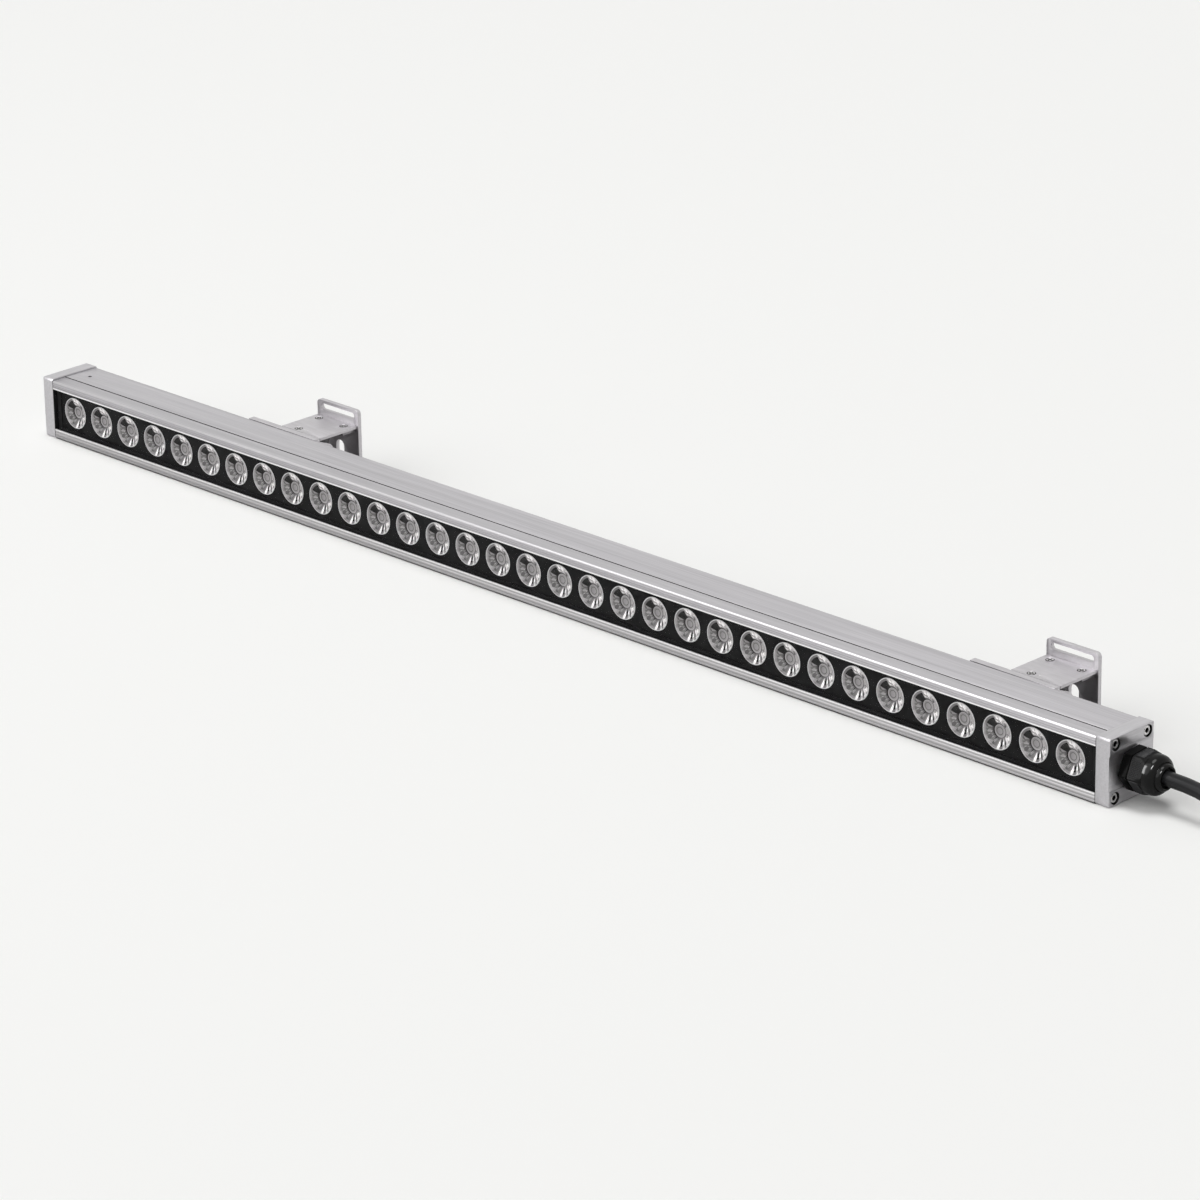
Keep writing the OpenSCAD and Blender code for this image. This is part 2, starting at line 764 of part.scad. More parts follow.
module cap_screws() {
    head_x = half_l - head_sink;
    for (p = port_places)
        difference() {
            union() {
                rod_x(head_x - cap_head_h, head_x, p[0], p[1], cap_head_d);
                rod_x(head_x - cap_head_h - cap_screw_l, head_x - cap_head_h / 2, p[0], p[1], cap_screw_d);
            }
            translate([head_x - cap_head_h / 2, p[0], p[1]])
                rotate([0, 90, 0])
                    cylinder(r = cap_socket_af / 2 / cos(30), h = cap_head_h, $fn = 6);
        }
}
module cap_screws_right() {
    color(steel) cap_screws();
}
module cap_screws_left() {
    color(steel) mirror([1, 0, 0]) cap_screws();
}

module front_glass() {
    color(clear)
        box(
            [-profile_half_l + seat_gap, glass_front_y, window_mid_z - glass_half_h],
            [profile_half_l - seat_gap, glass_back_y, window_mid_z + glass_half_h]
        );
}
module glass_seal() {
    x1 = profile_half_l - seat_gap;
    color(rubber)
        along_y(glass_back_y, seal_back_y)
            difference() {
                box_2d([-x1, window_mid_z - glass_half_h], [x1, window_mid_z + glass_half_h]);
                box_2d(
                    [-x1 + seal_end_w, window_mid_z - seal_gap_half_h],
                    [x1 - seal_end_w, window_mid_z + seal_gap_half_h]
                );
            }
}

module lens_panel() {
    x1 = profile_half_l - seat_gap;
    color(black) {
        along_y(panel_front_y, panel_back_y)
            difference() {
                box_2d([-x1, window_mid_z - panel_half_h], [x1, window_mid_z + panel_half_h]);
                for (i = [0 : lens_count - 1])
                    translate([lens_x(i), window_mid_z]) circle(d = lens_d + 2 * lens_clearance);
            }
        for (i = [0 : post_step : lens_count - 2])
            rod_y(panel_back_y - panel_t / 2, board_front_y, lens_x(i + 0.5), window_mid_z, post_d);
    }
}

// Curve of a lens's side: shares of its height, and of its width between foot and flange
lens_side_shares = [[0.15, 0.9], [0.35, 0.74], [0.55, 0.55], [0.75, 0.32], [0.9, 0.13]];

// Half section of a lens without its hollow and pocket: the front is at height zero
module lens_half_2d() {
    foot_r = lens_foot_d / 2;
    neck_r = lens_d / 2 - lens_flange_w;
    side_h = lens_h - lens_flange_t;
    polygon([
        [0, 0],
        [lens_d / 2, 0],
        [lens_d / 2, lens_flange_t],
        [neck_r, lens_flange_t],
        for (s = lens_side_shares)
            [foot_r + (neck_r - foot_r) * s[1], lens_flange_t + side_h * s[0]],
        [foot_r, lens_h],
        [0, lens_h]
    ]);
}
module lens() {
    rotate([-90, 0, 0])
        difference() {
            rotate_extrude() lens_half_2d();
            cylinder(d1 = lens_hollow_d, d2 = lens_hollow_floor_d, h = lens_hollow_depth);
            translate([0, 0, lens_h - lens_pocket_depth])
                cylinder(d = lens_pocket_d, h = lens_pocket_depth + cut);
        }
}
module lenses() {
    color(clear)
        for (i = [0 : lens_count - 1])
            translate([lens_x(i), lens_front_y, window_mid_z]) lens();
}

module board_holes(y0, y1, d) {
    for (i = [screw_first : post_step : lens_count - 2])
        rod_y(y0, y1, lens_x(i + 0.5), window_mid_z, d);
}
module light_plate(y0, y1) {
    difference() {
        box(
            [lens_x(0) - lens_d / 2 - board_end, y0, window_mid_z - board_h / 2],
            [lens_x(lens_count - 1) + lens_d / 2 + board_end, y1, window_mid_z + board_h / 2]
        );
        board_holes(y0 - cut, y1 + cut, board_screw_d + seat_gap);
    }
}
module light_board() {
    color(board_white) light_plate(board_front_y, board_back_y);
}
module thermal_pad() {
    color(steel) light_plate(board_back_y, pad_back_y);
}
module light_sources() {
    color(board_white)
        for (i = [0 : lens_count - 1]) {
            box(
                [lens_x(i) - led_w / 2, board_front_y - led_t, window_mid_z - led_w / 2],
                [lens_x(i) + led_w / 2, board_front_y, window_mid_z + led_w / 2]
            );
            translate([lens_x(i), board_front_y - led_t, window_mid_z])
                rotate([90, 0, 0])
                    rotate_extrude()
                        intersection() {
                            circle(d = led_dome_d);
                            square(led_dome_d);
                        }
        }
}
module board_screws() {
    color(steel)
        for (i = [screw_first : post_step : lens_count - 2]) {
            rod_y(board_front_y - board_head_h, board_front_y, lens_x(i + 0.5), window_mid_z, board_head_d);
            rod_y(board_front_y - fit_gap, web_back_y, lens_x(i + 0.5), window_mid_z, board_screw_d);
        }
}

module driver_board() {
    color(board_green) {
        box([driver_x0, driver_y0, driver_z0], [driver_x1, driver_y0 + driver_w, driver_top_z]);
        for (share = foot_shares)
            rod_z(
                wall_t, driver_z0 + driver_t / 2,
                driver_x0 + driver_l * share, driver_y0 + driver_w / 3, driver_w / 3
            );
    }
}
module driver_parts() {
    color(black) {
        box(
            [driver_x1 - terminal_l, driver_y0 + seat_gap, driver_top_z],
            [driver_x1, driver_y0 + driver_w - seat_gap, driver_top_z + terminal_h]
        );
        box(
            [driver_x0 + driver_l * transformer_shares[0], driver_y0 + seat_gap, driver_top_z],
            [
                driver_x0 + driver_l * transformer_shares[1],
                driver_y0 + driver_w - seat_gap,
                driver_top_z + driver_w * transformer_h_share
            ]
        );
        for (share = capacitor_shares)
            rod_z(
                driver_top_z, driver_top_z + driver_w * capacitor_h_share,
                driver_x0 + driver_l * share, driver_y0 + driver_w / 2, driver_w * capacitor_d_share
            );
    }
}
module inner_leads() {
    color(rubber)
        for (k = [0 : 2]) {
            start = [
                cable_start_x - seat_gap,
                core_d * lead_start_shares[k][0],
                gland_z + core_d * lead_start_shares[k][1]
            ];
            stop = [
                driver_x1 + seat_gap,
                driver_y0 + driver_w * lead_stop_shares[k],
                driver_top_z + terminal_h / 2
            ];
            rod(start, stop, core_d - fit_gap);
        }
}
module top_set_screw() {
    color(steel)
        difference() {
            rod_z(top_z - wall_t, top_z - seat_gap, set_x, set_screw_y, set_screw_d - fit_gap);
            translate([set_x, set_screw_y, top_z - wall_t / 2])
                cylinder(r = set_screw_d / 4, h = wall_t, $fn = 6);
        }
}

// Gland: its pieces are turned about the cable
module on_gland_axis() {
    translate([0, 0, gland_z]) rotate([0, 90, 0]) children();
}
module gland_ring() {
    color(rubber)
        difference() {
            rod_x(half_l - band_depth, gland_hex_x, 0, gland_z, ring_d);
            rod_x(half_l - band_depth - cut, gland_hex_x + cut, 0, gland_z, gland_thread_d + fit_gap);
        }
}
module gland_hexagon(x0, x1) {
    translate([x0, 0, gland_z])
        rotate([gland_turn, 0, 0])
            rotate([90, 0, 90])
                cylinder(r = gland_hex_r, h = x1 - x0, $fn = 6);
}
module gland_body() {
    bore_d = cable_d + 2 * seat_gap;
    color(black)
        difference() {
            union() {
                gland_hexagon(gland_hex_x, gland_hex_x + gland_hex_l);
                rod_x(
                    half_l - cap_t + fit_gap, gland_hex_x + fit_gap,
                    0, gland_z, gland_thread_d - 2 * fit_gap
                );
                rod_x(gland_hex_x, neck_end_x, 0, gland_z, gland_neck_d);
            }
            rod_x(half_l - cap_t - cut, gland_end_x, 0, gland_z, bore_d);
            rod_x(sleeve_x0, gland_end_x, 0, gland_z, sleeve_d + fit_gap);
        }
}
module gland_sleeve() {
    color(rubber)
        difference() {
            rod_x(sleeve_x0, sleeve_x1, 0, gland_z, sleeve_d - fit_gap);
            rod_x(sleeve_x0 - cut, sleeve_x1 + cut, 0, gland_z, cable_d + seat_gap);
        }
}
module gland_nut() {
    color(black)
        difference() {
            union() {
                intersection() {
                    gland_hexagon(gland_nut_x, gland_end_x);
                    on_gland_axis() rotate_extrude() nut_shell_2d();
                }
                on_gland_axis() rotate_extrude() nut_nose_2d();
            }
            rod_x(gland_nut_x - cut, neck_end_x + gland_gap, 0, gland_z, gland_neck_d + fit_gap);
            rod_x(gland_nut_x, gland_end_x + cut, 0, gland_z, gland_mouth_d + fit_gap);
        }
}
// Round end of the nut's hexagon, and the round nose in front of it
module nut_shell_2d() {
    slope_x = gland_nose_x - gland_nut_l / 2;
    polygon([
        [0, gland_nut_x - cut],
        [gland_hex_r + cut, gland_nut_x - cut],
        [gland_hex_r + cut, slope_x],
        [(gland_nose_r + gland_af / 2) / 2, gland_nose_x],
        [0, gland_nose_x]
    ]);
}
module nut_nose_2d() {
    start_x = gland_nose_x - gland_nut_l / 6;
    rim_r = gland_mouth_d / 2 + gland_gap;
    polygon([
        [0, start_x],
        [gland_nose_r, start_x],
        for (a = [0 : 10 : 90])
            [rim_r + (gland_nose_r - rim_r) * cos(a), gland_nose_x + gland_nose_l * sin(a)],
        [0, gland_end_x]
    ]);
}

module cable_run() {
    color(black) tube(cable_route, cable_r, route_sides);
}
module cable_coil() {
    color(black) tube(coil_path, cable_r, coil_sides);
}
// Three cores round the cable's axis, touching but for a small gap
core_spread = (core_d + seat_gap) / 2 / cos(30);
core_places = [for (k = [0 : 2]) core_spread * [cos(k * 120 + 90), sin(k * 120 + 90)]];
core_colours = ["saddlebrown", "royalblue", "yellowgreen"];
module cable_cores() {
    for (k = [0 : 2]) {
        start = core_start(k);
        color(core_colours[k]) rod(start, start + (core_l - ferrule_l) * core_way(k), core_d);
    }
}
module core_ferrules() {
    color(steel)
        for (k = [0 : 2]) {
            start = core_start(k) + (core_l - ferrule_l) * core_way(k);
            rod(start, start + ferrule_l * core_way(k), ferrule_d);
        }
}
function core_start(k) =
    coil_tail + core_places[k][0] * side_way(coil_end_way) + [0, 0, core_places[k][1]];
function core_way(k) =
    unit(coil_end_way + (core_places[k][0] * side_way(coil_end_way) + [0, 0, core_places[k][1]]) / core_l);

// Wall bracket, drawn at the middle of the bar and moved to its place
module left_side() {
    translate([bracket_left_x, 0, 0]) children();
}
module right_side() {
    translate([bracket_right_x, 0, 0]) children();
}
module back_plate() {
    color(aluminium)
        difference() {
            union() {
                box([-plate_l / 2, plate_y0, plate_z0], [plate_l / 2, plate_y1, plate_z1]);
                for (x = [ear_x0, ear_x1])
                    along_x(x, x + ear_t) ear_2d();
            }
            for (x = clamp_places)
                rod_y(plate_y0 - cut, plate_y1 + cut, x, slot_z, clamp_screw_d + seat_gap);
            rod_x(ear_x0 - cut, ear_x1 + ear_t + cut, pivot_y, pivot_z, pivot_bolt_d + 2 * pivot_fit);
        }
}
// Hinge ear: a round end joined to the plate by two tangents
module ear_2d() {
    translate([pivot_y, pivot_z]) circle(ear_r);
    tangent_web_2d([pivot_y, pivot_z], ear_r, [plate_y1, ear_corner_z], 1);
    tangent_web_2d([pivot_y, pivot_z], ear_r, [plate_y1, 2 * pivot_z - ear_corner_z], -1);
}
module tangent_web_2d(c, r, corner, side) {
    v = corner - c;
    angle = atan2(v[1], v[0]) - side * acos(r / norm(v));
    touch = c + r * [cos(angle), sin(angle)];
    polygon([corner, touch, c, [corner[0] - plate_t / 2, c[1]], [corner[0] - plate_t / 2, corner[1]]]);
}
module clamp_screws() {
    color(steel)
        for (x = clamp_places)
            difference() {
                union() {
                    rod_y(plate_y1, plate_y1 + clamp_head_h, x, slot_z, clamp_head_d);
                    rod_y(slot_nut_y0, plate_y1 + fit_gap, x, slot_z, clamp_screw_d);
                }
                translate([x, plate_y1 + clamp_head_h / 3, slot_z])
                    rotate([-90, 0, 0])
                        cylinder(r = clamp_screw_d / 3, h = clamp_head_h, $fn = 6);
            }
}
module slot_nuts() {
    nut_half_h = slot_w / 2 - slide_clearance;
    color(steel)
        for (x = clamp_places)
            difference() {
                box(
                    [x - slot_nut_l / 2, slot_nut_y0, slot_z - nut_half_h],
                    [x + slot_nut_l / 2, slot_nut_y0 + slot_nut_t, slot_z + nut_half_h]
                );
                rod_y(slot_nut_y0 - cut, slot_lip_y, x, slot_z, clamp_screw_d + fit_gap);
            }
}
module pivot_bolt() {
    head_x = arm_x1 + washer_t;
    tip_x = arm_x0 - washer_t - nut_h;
    color(steel)
        difference() {
            union() {
                rod_x(tip_x, head_x + fit_gap, pivot_y, pivot_z, pivot_bolt_d);
                rod_x(head_x, head_x + pivot_head_h, pivot_y, pivot_z, pivot_head_d);
            }
            translate([head_x + pivot_head_h / 2, pivot_y, pivot_z])
                rotate([0, 90, 0])
                    cylinder(r = pivot_bolt_d * 0.46, h = pivot_head_h, $fn = 6);
        }
}
module pivot_washers() {
    color(steel)
        for (x = [arm_x0 - washer_t, arm_x1])
            difference() {
                rod_x(x, x + washer_t, pivot_y, pivot_z, washer_d);
                rod_x(x - cut, x + washer_t + cut, pivot_y, pivot_z, pivot_bolt_d + seat_gap);
            }
}
module pivot_nut() {
    x1 = arm_x0 - washer_t;
    color(steel)
        difference() {
            translate([x1 - nut_h, pivot_y, pivot_z])
                rotate([0, 90, 0])
                    cylinder(r = nut_af / 2 / cos(30), h = nut_h, $fn = 6);
            rod_x(x1 - nut_h - cut, x1 + cut, pivot_y, pivot_z, pivot_bolt_d + fit_gap);
        }
}
module hinge_block() {
    front_half = block_depth / 3;
    color(aluminium)
        difference() {
            along_x(block_x0, block_x1)
                union() {
                    translate([pivot_y, pivot_z]) circle(hub_r);
                    block_web_2d();
                }
            rod_x(block_x0 - cut, block_x1 + cut, pivot_y, pivot_z, pivot_bolt_d + 2 * pivot_fit);
            arm_screw_hole(arm_x0 + front_screw_side, front_screw_y, front_screw_l);
            rod_z(arm_top_z - pin_l, arm_top_z, pin_x, front_screw_y, pin_d + fit_gap);
        }
}
module block_web_2d() {
    corner = [arm_y0 + block_depth, arm_bottom_z];
    v = corner - [pivot_y, pivot_z];
    angle = atan2(v[1], v[0]) - acos(hub_r / norm(v));
    touch = [pivot_y, pivot_z] + hub_r * [cos(angle), sin(angle)];
    polygon([
        [pivot_y - hub_r, arm_bottom_z],
        [pivot_y - hub_r, pivot_z],
        [pivot_y, pivot_z],
        touch,
        [corner[0], corner[1] - arm_t],
        corner
    ]);
}
// Countersunk screw from the arm's top: its solid, and the hole that it sits in
module arm_screw(x, y, l) {
    translate([x, y, arm_top_z - arm_head_h])
        cylinder(d1 = arm_screw_d, d2 = arm_head_d, h = arm_head_h);
    rod_z(arm_top_z - l, arm_top_z - arm_head_h / 2, x, y, arm_screw_d);
}
module arm_screw_hole(x, y, l) {
    rod_z(arm_top_z - l - seat_gap, arm_top_z + cut, x, y, arm_screw_d + seat_gap);
}
module arm_sink(x, y) {
    translate([x, y, arm_top_z - arm_head_h])
        cylinder(d1 = arm_screw_d + fit_gap, d2 = arm_head_d + 2 * fit_gap, h = arm_head_h + fit_gap / 2);
}
arm_screw_places = [
    [arm_x0 + rear_screw_side, rear_screw_y, rear_screw_l],
    [arm_x1 - rear_screw_side, rear_screw_y, rear_screw_l],
    [arm_x0 + front_screw_side, front_screw_y, front_screw_l]
];
module arm() {
    color(aluminium)
        difference() {
            box([arm_x0, arm_y0, arm_bottom_z], [arm_x1, wall_y0, arm_top_z]);
            for (s = arm_screw_places) {
                arm_screw_hole(s[0], s[1], s[2]);
                arm_sink(s[0], s[1]);
            }
            rod_z(arm_bottom_z - cut, arm_top_z + cut, pin_x, front_screw_y, pin_d + fit_gap);
        }
}
module arm_screws() {
    color(steel)
        for (s = arm_screw_places)
            difference() {
                arm_screw(s[0], s[1], s[2]);
                translate([s[0], s[1], arm_top_z - arm_head_h / 2])
                    cylinder(r = arm_screw_d / 3, h = arm_head_h, $fn = 6);
            }
}
module pin() {
    color(steel) rod_z(arm_top_z - pin_l, arm_top_z, pin_x, front_screw_y, pin_d);
}
module wall_plate() {
    x0 = arm_mid_x - wall_plate_w / 2;
    x1 = arm_mid_x + wall_plate_w / 2;
    color(aluminium)
        difference() {
            union() {
                along_y(wall_y0, wall_y1)
                    difference() {
                        round_box_2d([x0, wall_bottom_z], [x1, wall_top_z], wall_plate_corner_r);
                        translate([arm_mid_x, arm_top_z + wall_slot_rise])
                            slot_hole_2d(wall_slot_l, wall_slot_w);
                        translate([arm_mid_x + oval_shift, oval_z])
                            rotate(90)
                                slot_hole_2d(oval_h, oval_w);
                    }
                along_x(arm_mid_x - foot_w / 2, arm_mid_x + foot_w / 2) foot_2d();
            }
            for (s = arm_screw_places) arm_screw_hole(s[0], s[1], s[2]);
        }
}
module slot_hole_2d(l, w) {
    square([l - w, w], center = true);
    for (side = [-1, 1])
        translate([side * (l - w) / 2, 0]) circle(d = w);
}
module foot_2d() {
    fillet_centre = [wall_y0 - foot_fillet_r, foot_bottom_z - foot_fillet_r];
    box_2d([foot_y0, foot_bottom_z], [wall_y0 + wall_plate_t / 2, arm_bottom_z]);
    difference() {
        box_2d(fillet_centre, [wall_y0 + fit_gap, foot_bottom_z + fit_gap]);
        translate(fillet_centre) circle(foot_fillet_r);
    }
}

housing();
end_cap_left();
end_cap_right();
gasket_left();
gasket_right();
cap_screws_left();
cap_screws_right();
front_glass();
glass_seal();
lens_panel();
lenses();
light_board();
light_sources();
thermal_pad();
board_screws();
driver_board();
driver_parts();
inner_leads();
top_set_screw();
gland_ring();
gland_body();
gland_sleeve();
gland_nut();
cable_run();
cable_coil();
cable_cores();
core_ferrules();
left_side() back_plate();  // left_back_plate
left_side() clamp_screws();  // left_clamp_screws
left_side() slot_nuts();  // left_slot_nuts
left_side() pivot_bolt();  // left_pivot_bolt
left_side() pivot_washers();  // left_pivot_washers
left_side() pivot_nut();  // left_pivot_nut
left_side() hinge_block();  // left_hinge_block
left_side() arm();  // left_arm
left_side() wall_plate();  // left_wall_plate
left_side() arm_screws();  // left_arm_screws
left_side() pin();  // left_pin
right_side() back_plate();  // right_back_plate
right_side() clamp_screws();  // right_clamp_screws
right_side() slot_nuts();  // right_slot_nuts
right_side() pivot_bolt();  // right_pivot_bolt
right_side() pivot_washers();  // right_pivot_washers
right_side() pivot_nut();  // right_pivot_nut
right_side() hinge_block();  // right_hinge_block
right_side() arm();  // right_arm
right_side() wall_plate();  // right_wall_plate
right_side() arm_screws();  // right_arm_screws
right_side() pin();  // right_pin
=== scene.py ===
import json
import math

import bmesh
import bpy
from mathutils import Matrix, Vector


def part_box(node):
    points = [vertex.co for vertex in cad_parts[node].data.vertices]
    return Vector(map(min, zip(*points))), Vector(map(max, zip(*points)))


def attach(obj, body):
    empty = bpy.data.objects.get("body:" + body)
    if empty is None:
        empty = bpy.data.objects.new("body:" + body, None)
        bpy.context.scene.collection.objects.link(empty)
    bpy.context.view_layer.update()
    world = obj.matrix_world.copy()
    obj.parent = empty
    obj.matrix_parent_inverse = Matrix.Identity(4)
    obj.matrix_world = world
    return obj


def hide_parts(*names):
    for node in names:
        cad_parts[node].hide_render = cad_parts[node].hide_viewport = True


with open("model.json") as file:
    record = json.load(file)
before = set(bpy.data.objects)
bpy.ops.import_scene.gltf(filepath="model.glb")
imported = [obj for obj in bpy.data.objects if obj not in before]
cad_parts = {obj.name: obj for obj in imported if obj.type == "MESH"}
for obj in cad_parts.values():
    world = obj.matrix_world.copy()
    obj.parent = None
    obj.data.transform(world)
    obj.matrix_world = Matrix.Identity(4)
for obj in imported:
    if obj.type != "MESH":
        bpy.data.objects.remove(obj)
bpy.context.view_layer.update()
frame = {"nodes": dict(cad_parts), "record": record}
nodes = frame["nodes"]

MM = 0.001


def mm(*values):
    """A length or a point given in millimetres, in metres."""
    if len(values) == 1:
        return values[0] * MM
    return Vector([value * MM for value in values])


def new_object(name, data):
    """An object that is linked to the scene."""
    thing = bpy.data.objects.new(name, data)
    bpy.context.scene.collection.objects.link(thing)
    return thing


def outward(azimuth, elevation):
    """Unit vector out to a place at an azimuth and an elevation; 0 is in front."""
    flat = math.cos(elevation)
    return Vector((math.sin(azimuth) * flat, -math.cos(azimuth) * flat, math.sin(elevation)))


# ---------------------------------------------------------------- camera

# Place, aim and focal length were solved from the row of round lenses
CAMERA_PLACE = mm(2320.87, -2260.96, 1262.83)
CAMERA_AZIMUTH = math.radians(45.15)
CAMERA_ELEVATION = math.radians(21.35)
CAMERA_ROLL = -0.017
CAMERA_NEAR = 0.05
CAMERA_FAR = 50
FOCAL_PIXELS = 5206.09
IMAGE_PIXELS = 1200
SENSOR = 36.0


def make_camera():
    back = outward(CAMERA_AZIMUTH, CAMERA_ELEVATION)
    level_right = Vector((math.cos(CAMERA_AZIMUTH), math.sin(CAMERA_AZIMUTH), 0))
    level_up = back.cross(level_right)
    right = math.cos(CAMERA_ROLL) * level_right + math.sin(CAMERA_ROLL) * level_up
    up = -math.sin(CAMERA_ROLL) * level_right + math.cos(CAMERA_ROLL) * level_up
    data = bpy.data.cameras.new("camera")
    data.sensor_fit = "HORIZONTAL"
    data.sensor_width = SENSOR
    data.lens = FOCAL_PIXELS / IMAGE_PIXELS * SENSOR
    data.clip_start = CAMERA_NEAR
    data.clip_end = CAMERA_FAR
    camera = new_object("camera", data)
    turn = Matrix((right, up, back)).transposed().to_4x4()
    camera.matrix_world = Matrix.Translation(CAMERA_PLACE) @ turn
    bpy.context.scene.camera = camera


make_camera()

# ---------------------------------------------------------------- nodes


def feed(tree, value, socket):
    """Links an output to a socket, or sets the socket to a plain value."""
    if isinstance(value, bpy.types.NodeSocket):
        tree.links.new(value, socket)
    else:
        socket.default_value = value


def grow(tree, kind, inputs=None, **settings):
    """Adds a node to a tree, with its settings and what goes into its sockets."""
    node = tree.nodes.new(kind)
    for key, value in settings.items():
        setattr(node, key, value)
    for key, value in (inputs or {}).items():
        feed(tree, value, node.inputs[key])
    return node


# ---------------------------------------------------------------- materials


class Finish:
    """A material with a Principled shader and short ways to add its nodes."""

    def __init__(self, name, **constants):
        self.material = bpy.data.materials.new(name)
        self.material.use_nodes = True
        self.tree = self.material.node_tree
        self.shader = self.tree.nodes["Principled BSDF"]
        self.drive(**constants)

    @classmethod
    def of(cls, material):
        """The same ways for a material that already has its nodes."""
        finish = cls.__new__(cls)
        finish.material, finish.tree = material, material.node_tree
        finish.shader = finish.tree.nodes["Principled BSDF"]
        return finish

    def base_colour(self):
        """What already goes into the shader's colour."""
        return self.shader.inputs["Base Color"].links[0].from_socket

    def add(self, kind, inputs=None, **settings):
        return grow(self.tree, kind, inputs, **settings)

    def calc(self, operation, *values):
        return self.add(
            "ShaderNodeMath", dict(enumerate(values)), operation=operation).outputs[0]

    def length(self, x, y):
        """Length of a flat vector."""
        flat = self.add("ShaderNodeCombineXYZ", {"X": x, "Y": y}).outputs[0]
        return self.add("ShaderNodeVectorMath", {0: flat}, operation="LENGTH").outputs["Value"]

    def times(self, vector, factor):
        """A colour or vector multiplied by a number."""
        return self.add(
            "ShaderNodeVectorMath", {0: vector, "Scale": factor}, operation="SCALE").outputs[0]

    def place(self, scale=(1, 1, 1), shift=(0, 0, 0)):
        """Object coordinates, scaled and shifted."""
        coordinates = self.add("ShaderNodeTexCoord").outputs["Object"]
        return self.add(
            "ShaderNodeMapping", {"Vector": coordinates, "Scale": scale, "Location": shift},
        ).outputs["Vector"]

    def axes(self, shift=(0, 0, 0)):
        """X, Y and Z of the shifted object coordinates."""
        return self.add("ShaderNodeSeparateXYZ", {"Vector": self.place(shift=shift)}).outputs

    def noise(self, where, scale, detail=2.0, roughness=0.5):
        return self.add(
            "ShaderNodeTexNoise",
            {"Vector": where, "Scale": scale, "Detail": detail, "Roughness": roughness},
        ).outputs["Fac"]

    def spread(self, value, low, high, start=0.0, end=1.0):
        """Maps a value from start..end to low..high."""
        return self.add(
            "ShaderNodeMapRange",
            {"Value": value, "From Min": start, "From Max": end, "To Min": low, "To Max": high},
        ).outputs["Result"]

    def mix(self, factor, first, second):
        return self.add(
            "ShaderNodeMix", {"Factor": factor, "A": first, "B": second}, data_type="RGBA",
        ).outputs["Result"]

    def bump(self, height, strength, distance, under=None):
        inputs = {"Height": height, "Strength": strength, "Distance": distance}
        if under is not None:
            inputs["Normal"] = under
        return self.add("ShaderNodeBump", inputs).outputs["Normal"]

    def drive(self, **links):
        """Feeds the shader's sockets, named with _ for a space."""
        for label, value in links.items():
            feed(self.tree, value, self.shader.inputs[label.replace("_", " ")])


def colour(*rgb):
    return (*rgb, 1.0)


def shaded(base, factor):
    """A colour made darker or lighter by a factor."""
    return colour(*[min(1.0, value * factor) for value in base])


def brushed(name, base, grain, roughness):
    """Metal with fine lines: grain is the pattern's scale along X, Y and Z."""
    f = Finish(name, Metallic=1.0)
    lines = f.noise(f.place(grain), 1.0, 3.0, 0.6)
    cloud = f.noise(f.place((9, 9, 9)), 1.0)
    dark, light = shaded(base, 0.90), shaded(base, 1.08)
    tone = f.mix(f.spread(lines, 0.0, 1.0, 0.3, 0.7), dark, light)
    f.drive(
        Base_Color=f.mix(f.spread(cloud, 0.0, 0.18, 0.35, 0.65), tone, dark),
        Roughness=f.spread(lines, roughness - 0.05, roughness + 0.07, 0.3, 0.7),
        Normal=f.bump(lines, 0.25, mm(0.02)))
    return f.material


def moulded(name, base, roughness, **constants):
    """Moulded plastic or rubber with a fine skin."""
    f = Finish(name, **constants)
    skin = f.noise(f.place(), 900.0)
    cloud = f.noise(f.place(), 60.0)
    f.drive(
        Base_Color=f.mix(
            f.spread(cloud, 0.0, 1.0, 0.3, 0.7), shaded(base, 0.88), shaded(base, 1.12)),
        Roughness=f.spread(cloud, roughness - 0.05, roughness + 0.05, 0.3, 0.7),
        Normal=f.bump(skin, 0.15, mm(0.03)))
    return f.material


def clear(name, tint, roughness, **constants):
    """Clear glass, faintly uneven."""
    f = Finish(name, **constants)
    cloud = f.noise(f.place(), 120.0)
    f.drive(
        Base_Color=f.mix(cloud, shaded(tint, 0.97), colour(*tint)),
        Roughness=f.spread(cloud, roughness, roughness + 0.01))
    return f.material


# The bar's profile: Y of the groove is from its front, Z is from the floor
FRONT_FACE_Y = mm(-20.6)
BEZEL_H = mm(7.4)
BEZEL_RIBS = 3
GROOVE_MID_Y = mm(12.1)
GROOVE_HALF_W = mm(0.65)
WINDOW_HALF_H = mm(15.25)
UPPER_BEZEL_Z = mm(38.4)
UPPER_LINE_PITCH = mm(1.4)
# Band on the front face under its top edge that gets a painted highlight
SHOULDER_HIGHLIGHT_LOW_Z = mm(42.0)
SHOULDER_HIGHLIGHT_HIGH_Z = mm(44.0)
# Top of the painted contact shadow along the foot
FOOT_SHADOW_TOP_Z = mm(0.8)

# Places of the four cap screws about the middle of an end, and their counterbores' radius
SCREW_Y = mm(15)
SCREW_MID_Z = mm(22.65)
SCREW_HALF_SPAN = mm(17.5)
COUNTERBORE_R = mm(4.0)

# Row of lenses, and the steps and the power that a lens's dish curves with
LENS_COUNT = 33
LENS_STEPS = 9
DISH_CURVE = 1.25
LENS_RIM_R = mm(11.5)
LENS_PITCH = mm(29.26)
FIRST_LENS = mm(-469.94, -17.1, 22.65)

# Middle of the cable's three cores
CORES_Y = mm(117)
CORES_Z = mm(14.9)
TOP_CORE_RISE = mm(0.35)

# Where the light sources' domes end, and where the wall plates get painted shade
SOURCE_BASE_Y = mm(-7.4)
PLATE_FRONT_Y = mm(61.1)
PLATE_SHADE_Z = mm(40.5)

